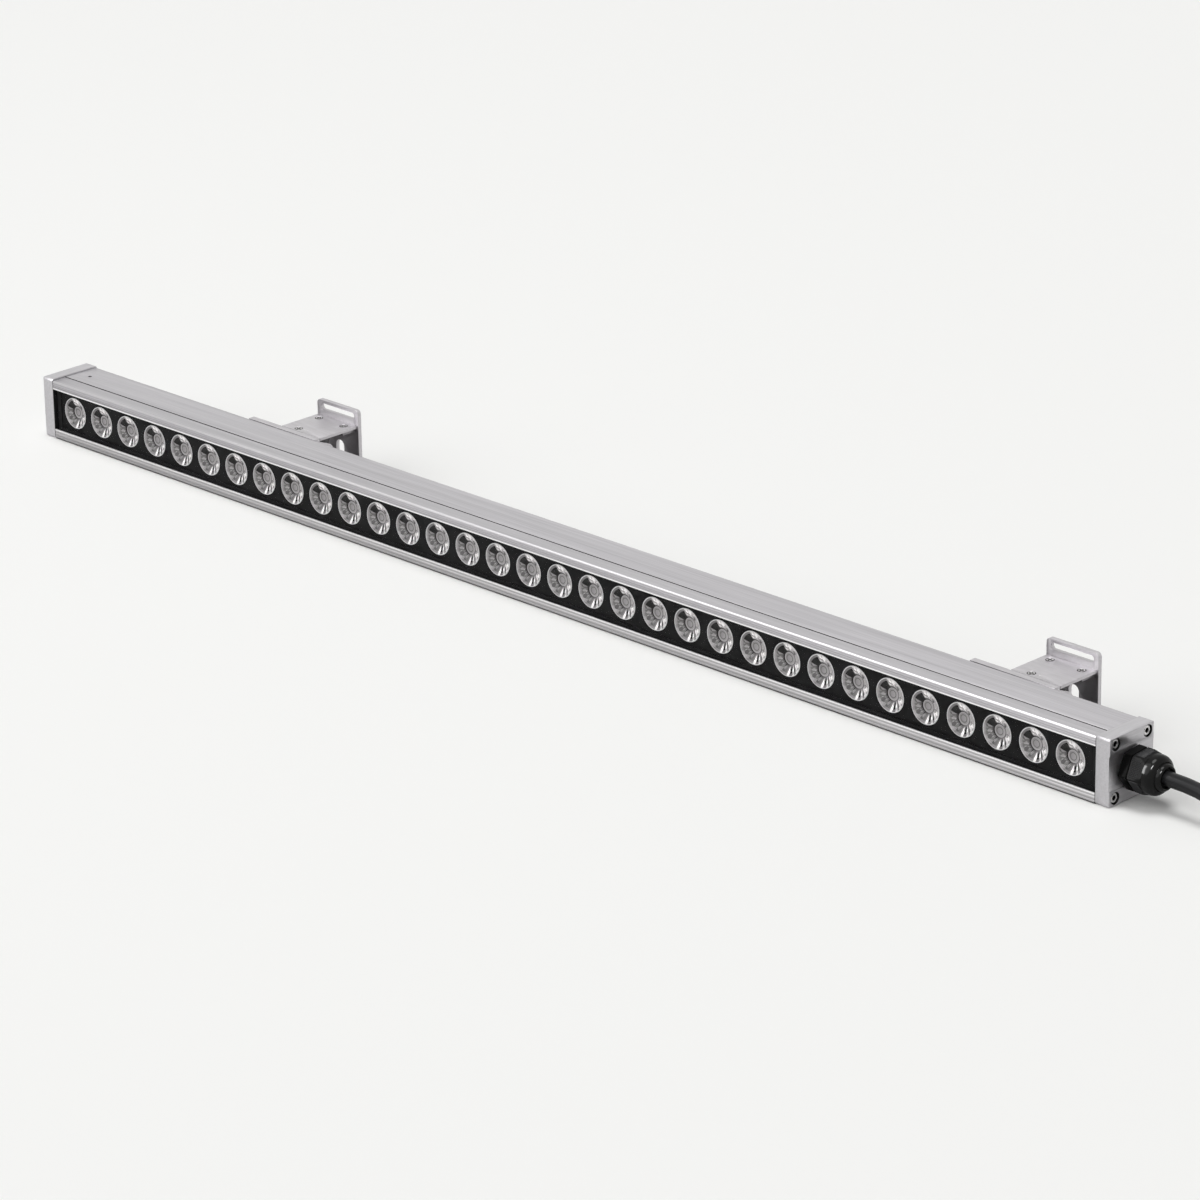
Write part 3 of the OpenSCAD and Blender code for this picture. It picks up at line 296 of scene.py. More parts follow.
bracket_finish = brushed("satin_bracket", (0.53, 0.515, 0.535), (60, 500, 700), 0.38)
# The hinge blocks' dark tone is painted shade: a dark finish that stands for the deep shade under
# the arms
painted_shade_block_finish = brushed("painted_shade_block", (0.09, 0.087, 0.09), (60, 500, 700), 0.42)
oxide_finish = brushed("black_oxide", (0.035, 0.034, 0.035), (900, 900, 900), 0.35)
steel_finish = brushed("bright_steel", (0.62, 0.62, 0.62), (900, 900, 900), 0.22)
panel_finish = moulded("black_panel", (0.010, 0.0097, 0.0103), 0.4, Specular_IOR_Level=0.08)
rib_finish = moulded("rib_nylon", (0.013, 0.013, 0.0138), 0.35, Specular_IOR_Level=0.12)
rubber_finish = moulded("black_rubber", (0.012, 0.012, 0.0125), 0.6, Specular_IOR_Level=0.25)
glass_finish = clear("clear_glass", (0.01, 0.01, 0.01), 0.02, Alpha=0.03, IOR=1.08)
board_finish = moulded("white_board", (0.80, 0.80, 0.78), 0.5)
pad_finish = moulded("grey_pad", (0.30, 0.30, 0.31), 0.7)
green_finish = moulded("green_board", (0.02, 0.12, 0.05), 0.35)
part_finish = moulded("driver_parts", (0.03, 0.03, 0.032), 0.45)
tin_finish = brushed("tinned_copper", (0.70, 0.70, 0.70), (900, 900, 900), 0.3)

# Painted reflection tones of a lens round its middle, from -180 to 180 degrees: 0 is right, 90 is
# up
LENS_REFLECTION_TONES = [
    (-180, 0.27), (-168, 0.36), (-128, 0.29), (-108, 0.17), (-89, 0.20), (-85, 0.95),
    (-76, 1.0), (-74, 0.01), (-62, 0.01), (-60, 1.0), (-51, 1.0), (-49, 0.01), (-39, 0.02),
    (-37, 1.0), (-20, 0.95), (-6, 0.58), (20, 0.38), (44, 0.30), (54, 0.80), (62, 0.36),
    (72, 0.90), (94, 0.98), (108, 0.66), (112, 0.02), (156, 0.015), (160, 0.26), (180, 0.27)]


def bar_aluminium():
    """The bar's aluminium: long brushed streaks; a front bezel below the window that darkens
    downwards from rib to rib, a painted shade that stands for the darker reflection of the
    shaded floor, and fine lines above the window; painted highlights along the window, the
    front shoulder and the groove's back edge; painted shade inside the groove and a painted
    contact shadow at the foot."""
    f = Finish("brushed_bar", Metallic=1.0)
    fine = f.noise(f.place((10, 1500, 1500)), 1.0, 3.0, 0.6)
    broad = f.noise(f.place((2.5, 330, 330)), 1.0, 3.0, 0.6)
    lines = f.calc("MULTIPLY_ADD", broad, 0.45, fine)
    tone = f.mix(f.spread(lines, 0.0, 1.0, 0.5, 0.95),
                 colour(0.42, 0.41, 0.43), colour(0.57, 0.555, 0.58))
    low_corner, high_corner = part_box("housing")
    parts = f.axes()
    y, z = parts["Y"], parts["Z"]
    front = f.spread(y, 1.0, 0.0, FRONT_FACE_Y, FRONT_FACE_Y + mm(0.3))

    # Painted shade: the lower bezel darkens downwards from rib to rib and towards each rib's lower
    # edge, standing for the darker reflection of the shaded floor
    rise = f.calc("DIVIDE", z, BEZEL_H)
    slope = f.calc("ADD", rise, f.calc("SNAP", rise, 1 / BEZEL_RIBS))
    within_rib = f.calc("FLOORED_MODULO", rise, 1 / BEZEL_RIBS)
    bezel_shade_level = f.calc("MULTIPLY", f.spread(slope, 0.42, 0.84, 0.1, 1.6),
                   f.spread(within_rib, 0.5, 1.0, 0.12, 0.30))
    bezel = f.mix(0.25, f.times((1.0, 0.98, 0.99), bezel_shade_level), tone)
    low = f.calc("MULTIPLY", front, f.spread(z, 1.0, 0.0, BEZEL_H, BEZEL_H + mm(0.1)))

    # Painted highlight along the groove's back edge, and painted shade inside the groove
    behind = f.calc("SUBTRACT", y, low_corner[1] + GROOVE_MID_Y)
    away = f.calc("ABSOLUTE", f.calc("SUBTRACT", behind, GROOVE_HALF_W))
    polished = f.mix(f.spread(away, 0.4, 0.0, mm(0.3), mm(0.6)), tone, colour(0.80, 0.79, 0.80))
    across = f.spread(f.calc("ABSOLUTE", behind), 1.0, 0.0,
                      GROOVE_HALF_W + mm(0.05), GROOVE_HALF_W + mm(0.1))
    under_top = f.spread(z, 1.0, 0.0, high_corner[2] - mm(0.3), high_corner[2] - mm(0.2))
    painted_groove_shade = f.mix(f.calc("MULTIPLY", across, under_top), polished, colour(0.05, 0.048, 0.05))

    centred = f.calc("SUBTRACT", z, SCREW_MID_Z)
    within_line = f.calc("FLOORED_MODULO", centred, UPPER_LINE_PITCH)
    upper = f.calc("MULTIPLY", front, f.spread(z, 0.0, 1.0, UPPER_BEZEL_Z, UPPER_BEZEL_Z + mm(0.2)))
    scored = f.calc("MULTIPLY", f.spread(within_line, 0.45, 0.0, mm(0.25), mm(0.5)), upper)
    plain = f.mix(scored, f.mix(low, painted_groove_shade, bezel), colour(0.16, 0.155, 0.16))

    # Painted highlights along the window's upper and lower edges and on the front shoulder
    window_edge_highlight = f.spread(f.calc("ABSOLUTE", centred), 1.0, 0.0,
                           WINDOW_HALF_H + mm(0.8), WINDOW_HALF_H + mm(1.0))
    rim = f.calc("MULTIPLY", front, window_edge_highlight)
    shoulder = f.calc("MULTIPLY", front, f.spread(z, 0.0, 0.4, SHOULDER_HIGHLIGHT_LOW_Z, SHOULDER_HIGHLIGHT_HIGH_Z))
    painted_edge_highlights = f.mix(f.calc("MAXIMUM", rim, shoulder), plain, colour(0.88, 0.87, 0.88))
    # Painted contact shadow: a dark edge along the bottom of the front face
    foot = f.calc(
        "MULTIPLY", f.spread(z, 1.0, 0.0, FOOT_SHADOW_TOP_Z, FOOT_SHADOW_TOP_Z + mm(0.4)),
        f.spread(y, 1.0, 0.0, low_corner[1] + mm(1.0), low_corner[1] + mm(1.4)))
    f.drive(
        Base_Color=f.mix(foot, painted_edge_highlights, colour(0.03, 0.03, 0.03)),
        Roughness=f.spread(lines, 0.31, 0.43, 0.5, 0.95),
        Normal=f.bump(lines, 0.25, mm(0.02)))
    return f.material


def lens_painted_reflections():
    """What a collimating lens shows under its clear skin, painted into its colour: painted
    reflections in sectors that mirror the room brighter or darker, fine rings, a pale band,
    a crescent of painted shade, a round middle with painted light from its dark left to its
    light right, and a painted highlight on its rim. Distances from a lens's middle are
    shares of its radius."""
    f = Finish("lens_painted_reflections", Coat_Weight=0.1, Coat_Roughness=0.04, Specular_IOR_Level=0.1)
    parts = f.axes((LENS_PITCH / 2 - FIRST_LENS.x, 0, -FIRST_LENS.z))
    x = f.calc("SUBTRACT", f.calc("FLOORED_MODULO", parts["X"], LENS_PITCH), LENS_PITCH / 2)
    z = parts["Z"]
    out = f.calc("DIVIDE", f.length(x, z), LENS_RIM_R)
    angle = f.spread(f.calc("ARCTAN2", z, x), 0.0, 1.0, -math.pi, math.pi)
    polar = f.add("ShaderNodeCombineXYZ", {"X": angle, "Y": out}).outputs[0]
    cells = f.add("ShaderNodeMapping", {"Vector": polar, "Scale": (30, 5, 1)}).outputs[0]
    facets = f.add("ShaderNodeTexVoronoi", {"Vector": cells, "Scale": 1.0}).outputs["Color"]
    facet = f.add("ShaderNodeSeparateXYZ", {"Vector": facets}).outputs["X"]
    bend = f.calc("ADD", angle, f.calc("MULTIPLY", f.calc("SUBTRACT", out, 0.7), 0.05))
    ramp = f.add("ShaderNodeValToRGB", {"Fac": bend})
    stops = ramp.color_ramp.elements
    for place, _ in LENS_REFLECTION_TONES[1:-1]:
        stops.new((place + 180) / 360)
    for stop, (place, tone) in zip(stops, LENS_REFLECTION_TONES):
        stop.position = (place + 180) / 360
        stop.color = colour(tone, tone * 0.97, tone * 0.975)
    rings = f.calc("SINE", f.calc("MULTIPLY", out, 95.0))
    strength = f.calc("MULTIPLY", f.spread(rings, 0.8, 1.2, -1.0, 1.0), f.spread(facet, 0.35, 1.8))
    sector = f.times(ramp.outputs["Color"], strength)
    pale = f.mix(0.4, sector, colour(0.56, 0.54, 0.55))
    banded = f.mix(f.spread(out, 0.0, 1.0, 0.80, 0.84), sector, pale)
    # Painted shade: a dark crescent to the left of the middle
    painted_crescent_shade = f.mix(f.spread(x, 0.0, 1.0, -mm(2.5), mm(2.5)), colour(0.035, 0.032, 0.033),
                     colour(0.26, 0.25, 0.255))
    inner = f.mix(f.spread(out, 0.0, 1.0, 0.42, 0.54), painted_crescent_shade, banded)
    ring = f.mix(f.spread(out, 0.0, 1.0, 0.355, 0.375), colour(0.58, 0.56, 0.57), inner)
    # Painted light: the round middle is darker on its left and lighter on its right
    disc = f.mix(f.spread(x, 0.0, 1.0, -mm(4), mm(4)), colour(0.26, 0.25, 0.253),
                 colour(0.46, 0.445, 0.45))
    from_circle = f.calc("ABSOLUTE", f.calc("SUBTRACT", out, 0.21))
    core = f.mix(f.spread(from_circle, 1.0, 0.0, 0.012, 0.03), disc, colour(0.14, 0.135, 0.137))
    middle = f.mix(f.spread(out, 0.0, 1.0, 0.31, 0.33), core, ring)
    # Painted highlight: a light rim round the lens
    rim = f.mix(f.spread(out, 0.0, 1.0, 0.935, 0.955), middle, colour(0.78, 0.77, 0.775))
    back = f.spread(parts["Y"], 0.0, 1.0, FIRST_LENS.y + mm(4), FIRST_LENS.y + mm(4.5))
    f.drive(Base_Color=f.mix(back, rim, colour(0.5, 0.5, 0.5)),
            Roughness=f.spread(facet, 0.2, 0.4))
    return f.material


def cap_aluminium():
    """The caps' satin aluminium, with painted shade inside the counterbores of the four screws."""
    f = Finish.of(brushed("satin_cap", (0.53, 0.52, 0.54), (700, 60, 700), 0.38))
    bright = f.base_colour()
    parts = f.axes((0, 0, -SCREW_MID_Z))
    sides = [
        f.calc("SUBTRACT", f.calc("ABSOLUTE", part), reach)
        for part, reach in ((parts["Y"], SCREW_Y), (parts["Z"], SCREW_HALF_SPAN))]
    # Painted shade inside the counterbores
    bore = f.spread(f.length(*sides), 1.0, 0.0, COUNTERBORE_R, COUNTERBORE_R + mm(0.1))
    f.drive(Base_Color=f.mix(bore, bright, colour(0.02, 0.02, 0.02)))
    return f.material


def gland_nylon(name, lightness=1.0, **constants):
    """Black nylon, satin as it comes from the mould."""
    f = Finish(name, **constants)
    dark, pale = colour(*[0.003 * lightness] * 3), colour(*[0.006 * lightness] * 3)
    cloud = f.noise(f.place(), 60.0)
    skin = f.noise(f.place(), 500.0)
    f.drive(
        Base_Color=f.mix(cloud, dark, pale),
        Roughness=f.spread(cloud, 0.26, 0.36, 0.3, 0.7),
        Normal=f.bump(skin, 0.1, mm(0.02)))
    return f.material


def screw_steel():
    """Steel that is dark where the mesh says that it lies in shade."""
    f = Finish("screw_steel", Metallic=1.0)
    shade = f.add("ShaderNodeAttribute", attribute_name="deep").outputs["Fac"]
    grain = f.noise(f.place((900, 900, 900)), 1.0)
    bright = f.mix(grain, colour(0.58, 0.57, 0.58), colour(0.86, 0.85, 0.85))
    f.drive(Base_Color=f.mix(shade, bright, colour(0.012, 0.011, 0.011)),
            Roughness=f.spread(grain, 0.2, 0.34))
    return f.material


def light_source():
    """White base with a yellow dome in front of it."""
    f = Finish("light_source")
    dome = f.spread(f.axes()["Y"], 1.0, 0.0, SOURCE_BASE_Y, SOURCE_BASE_Y + mm(0.15))
    grain = f.noise(f.place(), 700.0)
    yellow = f.mix(grain, colour(0.72, 0.52, 0.12), colour(0.82, 0.64, 0.20))
    f.drive(Base_Color=f.mix(dome, colour(0.84, 0.84, 0.82), yellow), Roughness=0.3)
    return f.material


def cable_rubber():
    """Rubber sheath that shows the lay of its cores as soft lengthwise streaks."""
    f = Finish("cable_rubber", Specular_IOR_Level=0.14)
    around = f.add("ShaderNodeAttribute", attribute_name="around").outputs["Vector"]
    along = f.add("ShaderNodeAttribute", attribute_name="along").outputs["Fac"]
    stretched = f.add("ShaderNodeCombineXYZ", {"Z": f.calc("MULTIPLY", along, 0.02)}).outputs[0]
    where = f.add("ShaderNodeVectorMath", {0: around, 1: stretched}, operation="ADD").outputs[0]
    streaks = f.noise(where, 420.0)
    skin = f.noise(f.place(), 1500.0)
    f.drive(
        Base_Color=f.mix(f.spread(streaks, 0.0, 1.0, 0.35, 0.65),
                         colour(0.003, 0.003, 0.0033), colour(0.011, 0.011, 0.0118)),
        Roughness=f.spread(streaks, 0.42, 0.30, 0.35, 0.65),
        Normal=f.bump(skin, 0.15, mm(0.03), f.bump(streaks, 0.6, mm(0.4))))
    return f.material


def core_insulation():
    """Brown, blue and striped cores, told apart by their side of the cable's end."""
    f = Finish("core_insulation", Roughness=0.4)
    parts = f.axes((0, -CORES_Y, -CORES_Z))
    side = f.calc("GREATER_THAN", parts["Y"], 0.0)
    top = f.calc("GREATER_THAN", parts["Z"], TOP_CORE_RISE)
    band = f.add("ShaderNodeTexWave", {"Vector": f.place(), "Scale": 260.0, "Distortion": 0.5})
    stripe = f.mix(f.spread(band.outputs["Fac"], 0.0, 1.0, 0.45, 0.55),
                   colour(0.10, 0.30, 0.06), colour(0.62, 0.56, 0.05))
    pair = f.mix(side, colour(0.14, 0.055, 0.02), colour(0.03, 0.10, 0.34))
    f.drive(Base_Color=f.mix(top, pair, stripe))
    return f.material


def bracket_wall_plate():
    """The bracket's aluminium, with painted shade on the face towards the bar below the arm."""
    f = Finish.of(brushed("satin_wall_plate_painted_shade", (0.53, 0.515, 0.535), (60, 500, 700), 0.38))
    bright = f.base_colour()
    parts = f.axes()
    # Painted shade on the plate's face towards the bar, below the arm
    front = f.spread(parts["Y"], 1.0, 0.0, PLATE_FRONT_Y, PLATE_FRONT_Y + mm(0.2))
    below = f.spread(parts["Z"], 1.0, 0.0, PLATE_SHADE_Z, PLATE_SHADE_Z + mm(3.0))
    f.drive(Base_Color=f.mix(f.calc("MULTIPLY", front, below), bright, colour(0.25, 0.24, 0.25)))
    return f.material


screw_finish = screw_steel()
housing_finish = bar_aluminium()
cap_finish = cap_aluminium()
gland_finish = gland_nylon("black_nylon", Specular_IOR_Level=0.035)
hexagon_finish = gland_nylon("hexagon_nylon", 0.3, Specular_IOR_Level=0.03)
polished_finish = gland_nylon(
    "polished_nylon", 0.3, Specular_IOR_Level=0.03, Coat_Weight=0.26, Coat_Roughness=0.09)
lens_finish = lens_painted_reflections()
source_finish = light_source()
cable_finish = cable_rubber()
core_finish = core_insulation()
wall_plate_finish = bracket_wall_plate()

# ---------------------------------------------------------------- mesh helpers


def dress(finish, *names):
    """Gives CAD nodes a material."""
    for name in names:
        data = nodes[name].data
        data.materials.clear()
        data.materials.append(finish)


def body_of_node(name):
    for body, names in frame["record"]["behaviour"]["bodies"].items():
        if name in names:
            return body
    raise KeyError(name)


def add_piece(name, mesh, finishes, node):
    """A piece that rides on its node's body and stands for the node."""
    mesh.materials.clear()
    for finish in finishes:
        mesh.materials.append(finish)
    piece = new_object(name, mesh)
    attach(piece, body_of_node(node))
    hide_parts(node)
    return piece


def bake(piece):
    """Turns a piece's modifiers into plain mesh."""
    view = bpy.context.evaluated_depsgraph_get()
    mesh = bpy.data.meshes.new_from_object(
        piece.evaluated_get(view), preserve_all_data_layers=True, depsgraph=view)
    piece.modifiers.clear()
    piece.data = mesh
    return mesh


def merged_copy(node):
    """The node's mesh with its loose triangles joined and its flat faces dissolved."""
    mesh = nodes[node].data.copy()
    work = bmesh.new()
    work.from_mesh(mesh)
    bmesh.ops.remove_doubles(work, verts=work.verts, dist=mm(0.002))
    bmesh.ops.dissolve_limit(
        work, angle_limit=math.radians(0.5), verts=work.verts, edges=work.edges)
    work.to_mesh(mesh)
    work.free()
    return mesh


def rounded(node, finish, width):
    """A copy of a CAD node with its edges slightly rounded."""
    mesh = merged_copy(node)
    piece = add_piece(node + "_piece", mesh, [finish], node)
    for polygon in mesh.polygons:
        polygon.use_smooth = True
    bevel = piece.modifiers.new("edge_rounding", "BEVEL")
    bevel.width = width
    bevel.segments = 2
    bevel.limit_method = "ANGLE"
    bevel.angle_limit = math.radians(30)
    bevel.harden_normals = True
    bevel.use_clamp_overlap = True
    bake(piece)


def lathe(name, rings, count, first_angle=0.0, closed=False):
    """A turned mesh about the X axis. A ring is its place along X, its radius as a
    number or as a function of the angle, and how deep in shade it lies, 0 to 1."""
    work = bmesh.new()
    deep = work.verts.layers.float.new("deep")
    angles = [first_angle + 2 * math.pi * i / count for i in range(count)]
    loops = []
    for along, radius, shade in rings:
        if radius == 0:
            vert = work.verts.new((along, 0, 0))
            vert[deep] = shade
            loops.append([vert])
            continue
        loop = []
        for angle in angles:
            r = radius(angle) if callable(radius) else radius
            vert = work.verts.new((along, r * math.cos(angle), r * math.sin(angle)))
            vert[deep] = shade
            loop.append(vert)
        loops.append(loop)
    pairs = list(zip(loops, loops[1:]))
    if closed:
        pairs.append((loops[-1], loops[0]))
    for one, two in pairs:
        for i in range(count):
            j = (i + 1) % count
            corners = [one[i % len(one)], one[j % len(one)], two[j % len(two)], two[i % len(two)]]
            work.faces.new(list(dict.fromkeys(corners)))
    bmesh.ops.recalc_face_normals(work, faces=work.faces)
    mesh = bpy.data.meshes.new(name)
    work.to_mesh(mesh)
    work.free()
    return mesh


def smooth_by_angle(mesh, degrees):
    """Smooth shading with sharp edges where the faces turn by more than an angle."""
    work = bmesh.new()
    work.from_mesh(mesh)
    for face in work.faces:
        face.smooth = True
    for edge in work.edges:
        edge.smooth = len(edge.link_faces) == 2 and edge.calc_face_angle() < math.radians(degrees)
    work.to_mesh(mesh)
    work.free()
    return mesh


def turned(mesh, matrix):
    mesh.transform(matrix)
    return mesh


ALONG_Y = Matrix.Rotation(math.radians(90), 4, "Z")
ALONG_Z = Matrix.Rotation(math.radians(-90), 4, "Y")


def hexagon(across_flats, corner_angle):
    """Radius of a hexagon as a function of the angle."""
    def radius(angle):
        part = (angle - corner_angle) % math.radians(60) - math.radians(30)
        return across_flats / 2 / math.cos(part)
    return radius


def within(radius, limit):
    return lambda angle: min(radius(angle), limit)


# ---------------------------------------------------------------- repeated pieces


def new_tree(name, sockets):
    """Geometry node tree with these inputs and a mesh as its output."""
    tree = bpy.data.node_groups.new(name, "GeometryNodeTree")
    for label, kind in sockets:
        tree.interface.new_socket(label, in_out="INPUT", socket_type="NodeSocket" + kind)
    tree.interface.new_socket("Geometry", in_out="OUTPUT", socket_type="NodeSocketGeometry")
    return tree


def finish_tree(tree, geometry, material):
    """Realizes what a tree has made, gives it its material and puts it out."""
    whole = grow(tree, "GeometryNodeRealizeInstances", {"Geometry": geometry})
    dressed = grow(tree, "GeometryNodeSetMaterial", {
        "Geometry": whole.outputs["Geometry"], "Material": material})
    grow(tree, "NodeGroupOutput", {"Geometry": dressed.outputs["Geometry"]})


def make_copies_tree():
    """Node tree that sets a piece out along two steps, and then round the X axis."""
    tree = new_tree("copies_of_a_piece", (
        ("Piece", "Object"), ("Start", "Vector"), ("Count", "Int"), ("Step", "Vector"),
        ("Second Count", "Int"), ("Second Step", "Vector"), ("Turns", "Int"),
        ("Turn Step", "Vector"), ("First Turn", "Vector"), ("Turn Centre", "Vector"),
        ("Material", "Material")))
    given = grow(tree, "NodeGroupInput").outputs

    def row(count, offset, start=None):
        inputs = {"Count": count, "Offset": offset}
        if start is not None:
            inputs["Start Location"] = start
        return grow(tree, "GeometryNodeMeshLine", inputs, mode="OFFSET").outputs["Mesh"]

    def on_points(points, instance, **more):
        node = grow(tree, "GeometryNodeInstanceOnPoints", {
            "Points": points, "Instance": instance, **more})
        return node.outputs["Instances"]

    def realized(instances):
        node = grow(tree, "GeometryNodeRealizeInstances", {"Geometry": instances})
        return node.outputs["Geometry"]

    line = row(given["Count"], given["Step"], given["Start"])
    second = row(given["Second Count"], given["Second Step"])
    spots = realized(on_points(second, line))
    piece = grow(tree, "GeometryNodeObjectInfo", {"Object": given["Piece"]},
                 transform_space="ORIGINAL")
    flat = realized(on_points(spots, piece.outputs["Geometry"]))

    ring = row(given["Turns"], (0, 0, 0), given["Turn Centre"])
    index = grow(tree, "GeometryNodeInputIndex").outputs["Index"]
    angle = grow(tree, "ShaderNodeVectorMath", {0: given["Turn Step"], "Scale": index},
                 operation="SCALE").outputs["Vector"]
    total = grow(tree, "ShaderNodeVectorMath", {0: angle, 1: given["First Turn"]},
                 operation="ADD").outputs["Vector"]
    finish_tree(tree, on_points(ring, flat, Rotation=total), given["Material"])
    return tree


copies_tree = make_copies_tree()


def set_inputs(modifier, values):
    for item in modifier.node_group.interface.items_tree:
        if item.item_type == "SOCKET" and item.in_out == "INPUT" and item.name in values:
            modifier[item.identifier] = values[item.name]


def copies(name, mesh, finish, node, start, count=1, step=(0, 0, 0), second_count=1,
           second_step=(0, 0, 0), turns=1, first_turn=0.0, centre=(0, 0, 0), replaces=()):
    """Copies of one mesh in a row, a grid or a ring, made by Geometry Nodes."""
    single = new_object(name + "_single", mesh)
    piece = new_object(name, bpy.data.meshes.new(name))
    modifier = piece.modifiers.new("copies", "NODES")
    modifier.node_group = copies_tree
    set_inputs(modifier, {
        "Piece": single, "Start": tuple(start), "Count": count, "Step": tuple(step),
        "Second Count": second_count, "Second Step": tuple(second_step), "Turns": turns,
        "Turn Step": (2 * math.pi / turns, 0.0, 0.0), "First Turn": (first_turn, 0.0, 0.0),
        "Turn Centre": tuple(centre), "Material": finish})
    result = bake(piece)
    bpy.data.objects.remove(single)
    if not result.materials:
        result.materials.append(finish)
    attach(piece, body_of_node(node))
    if replaces:
        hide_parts(*replaces)


# ---------------------------------------------------------------- cable

CABLE_R = mm(4.75)
GLAND_AXIS_Z = mm(21.5)
CABLE_LOW_Z = mm(4.8)
LIGHT_END_X = mm(500)
CABLE_REACH = [4, 12, 20, 30, 42, 52, 62, 72, 82, 92, 102, 112, 122]
CABLE_FALL = [0, 0, 0, 0, 0.012, 0.066, 0.198, 0.413, 0.659, 0.856, 0.964, 1, 1]
COIL_R = mm(58.5)
COIL_PITCH = mm(10.1)
COIL_TURNS = 2.5
COIL_RINGS = 48
COIL_CENTRE = mm(631.5, 58.5, 4.8)
CABLE_SIDES = 24


def ease(t):
    t = min(max(t, 0.0), 1.0)
    return t * t * (3 - 2 * t)


def cable_path():
    """The cable's middle line: out of the gland, down to the floor and round its coil."""
    fall = CABLE_LOW_Z - GLAND_AXIS_Z
    points = [
        Vector((LIGHT_END_X + mm(reach), 0, GLAND_AXIS_Z + fall * share))
        for reach, share in zip(CABLE_REACH, CABLE_FALL)]
    for i in range(int(COIL_TURNS * COIL_RINGS) + 1):
        turn = i / COIL_RINGS
        radius = COIL_R - COIL_PITCH * min(turn, COIL_TURNS - turn)
        angle = 2 * math.pi * turn - math.pi / 2
        climb = ease((turn - COIL_TURNS / 2 + 0.25) / 0.5)
        points.append(COIL_CENTRE + Vector((
            radius * math.cos(angle), radius * math.sin(angle), COIL_PITCH * climb)))
    points.append(points[-1] + Vector((-2 * CABLE_R, 0, 0)))
    return points


def make_sweep_tree():
    """Node tree that sweeps a round section along a path and keeps where each point
    lies round the section and along the path."""
    tree = new_tree("round_sweep", (
        ("Path", "Object"), ("Radius", "Float"), ("Sides", "Int"), ("Material", "Material")))
    given = grow(tree, "NodeGroupInput").outputs

    def marked(name, kind, geometry, value):
        node = grow(tree, "GeometryNodeStoreNamedAttribute", {
            "Name": name, "Geometry": geometry, "Value": value}, data_type=kind)
        return node.outputs["Geometry"]

    path = grow(tree, "GeometryNodeObjectInfo", {"Object": given["Path"]})
    distance = grow(tree, "GeometryNodeSplineParameter")
    marked_path = marked(
        "along", "FLOAT", path.outputs["Geometry"], distance.outputs["Length"])
    section = grow(tree, "GeometryNodeCurvePrimitiveCircle", {
        "Resolution": given["Sides"], "Radius": given["Radius"]})
    place = grow(tree, "GeometryNodeInputPosition")
    marked_section = marked(
        "around", "FLOAT_VECTOR", section.outputs["Curve"], place.outputs["Position"])
    sweep = grow(tree, "GeometryNodeCurveToMesh", {
        "Fill Caps": True, "Curve": marked_path, "Profile Curve": marked_section})
    finish_tree(tree, sweep.outputs["Mesh"], given["Material"])
    return tree


def make_cable():
    points = cable_path()
    line = bpy.data.curves.new("cable_line", "CURVE")
    line.dimensions = "3D"
    spline = line.splines.new("POLY")
    spline.points.add(len(points) - 1)
    for spot, point in zip(spline.points, points):
        spot.co = (*point, 1)
    path = new_object("cable_line", line)
    cable = new_object("cable", bpy.data.meshes.new("cable"))
    modifier = cable.modifiers.new("sweep", "NODES")
    modifier.node_group = make_sweep_tree()
    set_inputs(modifier, {
        "Path": path, "Radius": CABLE_R, "Sides": CABLE_SIDES, "Material": cable_finish})
    mesh = bake(cable)
    bpy.data.objects.remove(path)
    if not mesh.materials:
        mesh.materials.append(cable_finish)
    for polygon in mesh.polygons:
        polygon.use_smooth = len(polygon.vertices) < 5
    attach(cable, "housing")
    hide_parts("cable_run", "cable_coil")


make_cable()

# ---------------------------------------------------------------- gland

GLAND_NUT_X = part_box("gland_nut")[0][0]
GLAND_FLATS = mm(24.6)
GLAND_NOSE_R = mm(13)

# Rings of the nut in millimetres from its start: on its flats with their largest radius,
# on its nose with how far they lie under the nose's radius and in shade, and in its bore
NUT_FLATS = [(0, 13.7), (0.4, 14.15), (5.8, 14.19), (7.5, 13.95), (9.5, 13.4), (9.9, 13.25)]
NUT_NOSE = [
    (10.05, 0.15, 0), (10.2, 0, 0), (12.6, 0, 0), (14.0, 0.25, 0), (15.3, 0.8, 0),
    (16.4, 1.7, 0), (17.2, 2.8, 0), (17.5, 3.3, 0.3), (17.5, 3.6, 0.6), (17.3, 3.9, 0.6),
    (17.6, 4.1, 0.3), (18.6, 4.2, 0), (19.6, 4.5, 0), (20.4, 5.0, 0), (20.85, 5.6, 0),
    (20.9, 6.0, 0), (20.6, 6.4, 0.4)]
NUT_BORE = [(12.0, 6.6), (6.7, 6.6), (6.7, 8.6), (0, 8.6)]
NUT_POLISHED_FROM = mm(10.1)

RIB_COUNT = 11
RIB_PITCH = mm(1.02)


def gland_axis(mesh):
    return turned(mesh, Matrix.Translation((0, 0, GLAND_AXIS_Z)))


def corner_angle_of(node):
    """Angle of a corner of a hexagon about the gland's axis, read from its mesh."""
    far = max(nodes[node].data.vertices, key=lambda v: math.hypot(v.co.y, v.co.z - GLAND_AXIS_Z))
    return math.atan2(far.co.z - GLAND_AXIS_Z, far.co.y)


GLAND_CORNER = corner_angle_of("gland_body")


